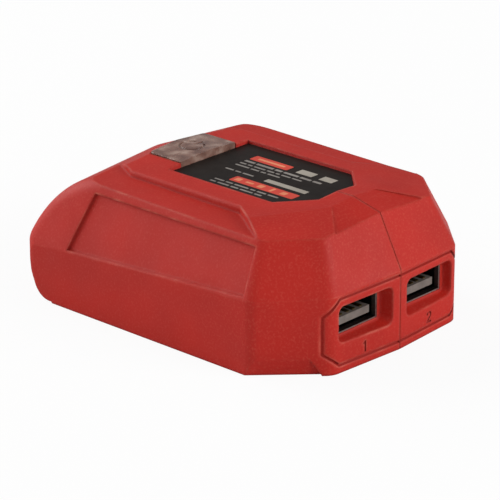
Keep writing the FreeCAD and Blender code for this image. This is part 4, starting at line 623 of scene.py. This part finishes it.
# Drawn aluminium: satin, with fine lines up the can.
DRAW_LINE = 1.5 * MM
DRAW_STRETCH = (8, 8, 1)
can_metal, tree, spot = surface("aluminium_drawn")
drawn = add(tree, "Mapping", {}, {"Vector": spot, "Scale": DRAW_STRETCH})
lines = add(tree, "TexNoise", {}, {
    "Vector": drawn.outputs["Vector"], "Scale": 0.5 / DRAW_LINE})
can_colour = add(tree, "ValToRGB", {}, {"Fac": lines.outputs["Fac"]},
                 [(0.3, "#A9ABAD"), (0.7, "#C4C6C8")])
gloss = add(tree, "MapRange", {}, {
    "Value": lines.outputs["Fac"], "From Min": 0.3, "From Max": 0.7,
    "To Min": 0.24, "To Max": 0.4})
skin = add(tree, "BsdfPrincipled", {}, {
    "Base Color": can_colour.outputs["Color"], "Metallic": 1.0,
    "Roughness": gloss.outputs["Result"]})
add(tree, "OutputMaterial", {}, {"Surface": skin.outputs["BSDF"]})
dress(can_metal, "electrolytic_cans")
# Moulded butyl rubber: matt, nearly black.
butyl = plain_finish("butyl_rubber_moulded", "#141414", "#1D1D1D", 1 * MM, 0.75,
                     0.1 * MM, 0.02 * MM)
dress(butyl, "electrolytic_seals")


# Chips, diode and fuse. Black epoxy packages and a ceramic fuse, soldered flat on the
# board round the inductor.

# Moulded epoxy: dark grey, with the fine sparkle of its filling.
epoxy_black = plain_finish("black_epoxy_moulded", "#19191A", "#262628", 0.5 * MM, 0.5,
                           0.1 * MM, 0.02 * MM)
dress(epoxy_black, "converter_chip", "port_chips", "diode")
# Fired ceramic: cream and dull.
ceramic_cream = plain_finish("cream_ceramic_fired", "#A8A596", "#BFBCAE", 1.4 * MM, 0.55,
                             0.1 * MM, 0.02 * MM)
dress(ceramic_cream, "fuse")


# Ceramic capacitors. Six small chips of brown barium titanate with tinned ends, in two
# rows across the board.

# Fired titanate: a dull milk-chocolate brown between two bright tinned ends.
CHIP_END = 0.4 * MM
CHIP_HALF = 1.0 * MM
CHIP_MOTTLE = 0.6 * MM
END_TIN = "#C2BFB8"
chip_low, chip_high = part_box("ceramic_capacitors")
chip_brown, tree, spot = surface("barium_titanate_fired")
along = add(tree, "SeparateXYZ", {}, {"Vector": spot})
from_rows = []
for row in (chip_low[1] + CHIP_HALF, chip_high[1] - CHIP_HALF):
    off = add(tree, "Math", {"operation": "SUBTRACT"}, {0: along.outputs["Y"], 1: row})
    from_rows.append(add(tree, "Math", {"operation": "ABSOLUTE"}, {0: off.outputs[0]}))
nearest = add(tree, "Math", {"operation": "MINIMUM"}, {
    0: from_rows[0].outputs[0], 1: from_rows[1].outputs[0]})
tinned = add(tree, "Math", {"operation": "GREATER_THAN"}, {
    0: nearest.outputs[0], 1: CHIP_HALF - CHIP_END})
mottling = add(tree, "TexNoise", {}, {"Vector": spot, "Scale": 0.5 / CHIP_MOTTLE})
body_brown = add(tree, "ValToRGB", {}, {"Fac": mottling.outputs["Fac"]},
                 [(0.3, "#7A5B3C"), (0.7, "#8E6D4A")])
chip_colour = add(tree, "Mix", {"data_type": "RGBA"}, {
    "Factor": tinned.outputs[0], "A": body_brown.outputs["Color"], "B": tint(END_TIN)})
gloss = add(tree, "MapRange", {}, {
    "Value": mottling.outputs["Fac"], "From Min": 0.3, "From Max": 0.7,
    "To Min": 0.38, "To Max": 0.5})
skin = add(tree, "BsdfPrincipled", {}, {
    "Base Color": chip_colour.outputs["Result"], "Metallic": tinned.outputs[0],
    "Roughness": gloss.outputs["Result"]})
add(tree, "OutputMaterial", {}, {"Surface": skin.outputs["BSDF"]})
dress(chip_brown, "ceramic_capacitors")


# Status lights. Two small lamps in clear resin, soldered to the board, that light the
# button from below.

# Cast resin: clear and faintly yellow, with tiny bubbles.
resin_clear = plain_finish("clear_resin_cast", "#D9D2B4", "#E6E0C8", 0.6 * MM, 0.15,
                           0.1 * MM, 0.01 * MM, {"Transmission Weight": 0.6, "IOR": 1.52})
dress(resin_clear, "status_leds")


# Screws. Black zinc-plated steel screws join the halves, and small stainless screws hold
# the board.

# Black zinc: dark and slightly oily, worn brighter in patches.
zinc_black = plain_finish("steel_black_zinc_plated", "#2B2C2E", "#46474A", 0.7 * MM, 0.36,
                          0.1 * MM, 0.01 * MM, {"Metallic": 1.0})
dress(zinc_black, "housing_screws")
dress(steel_stamped, "board_screws")
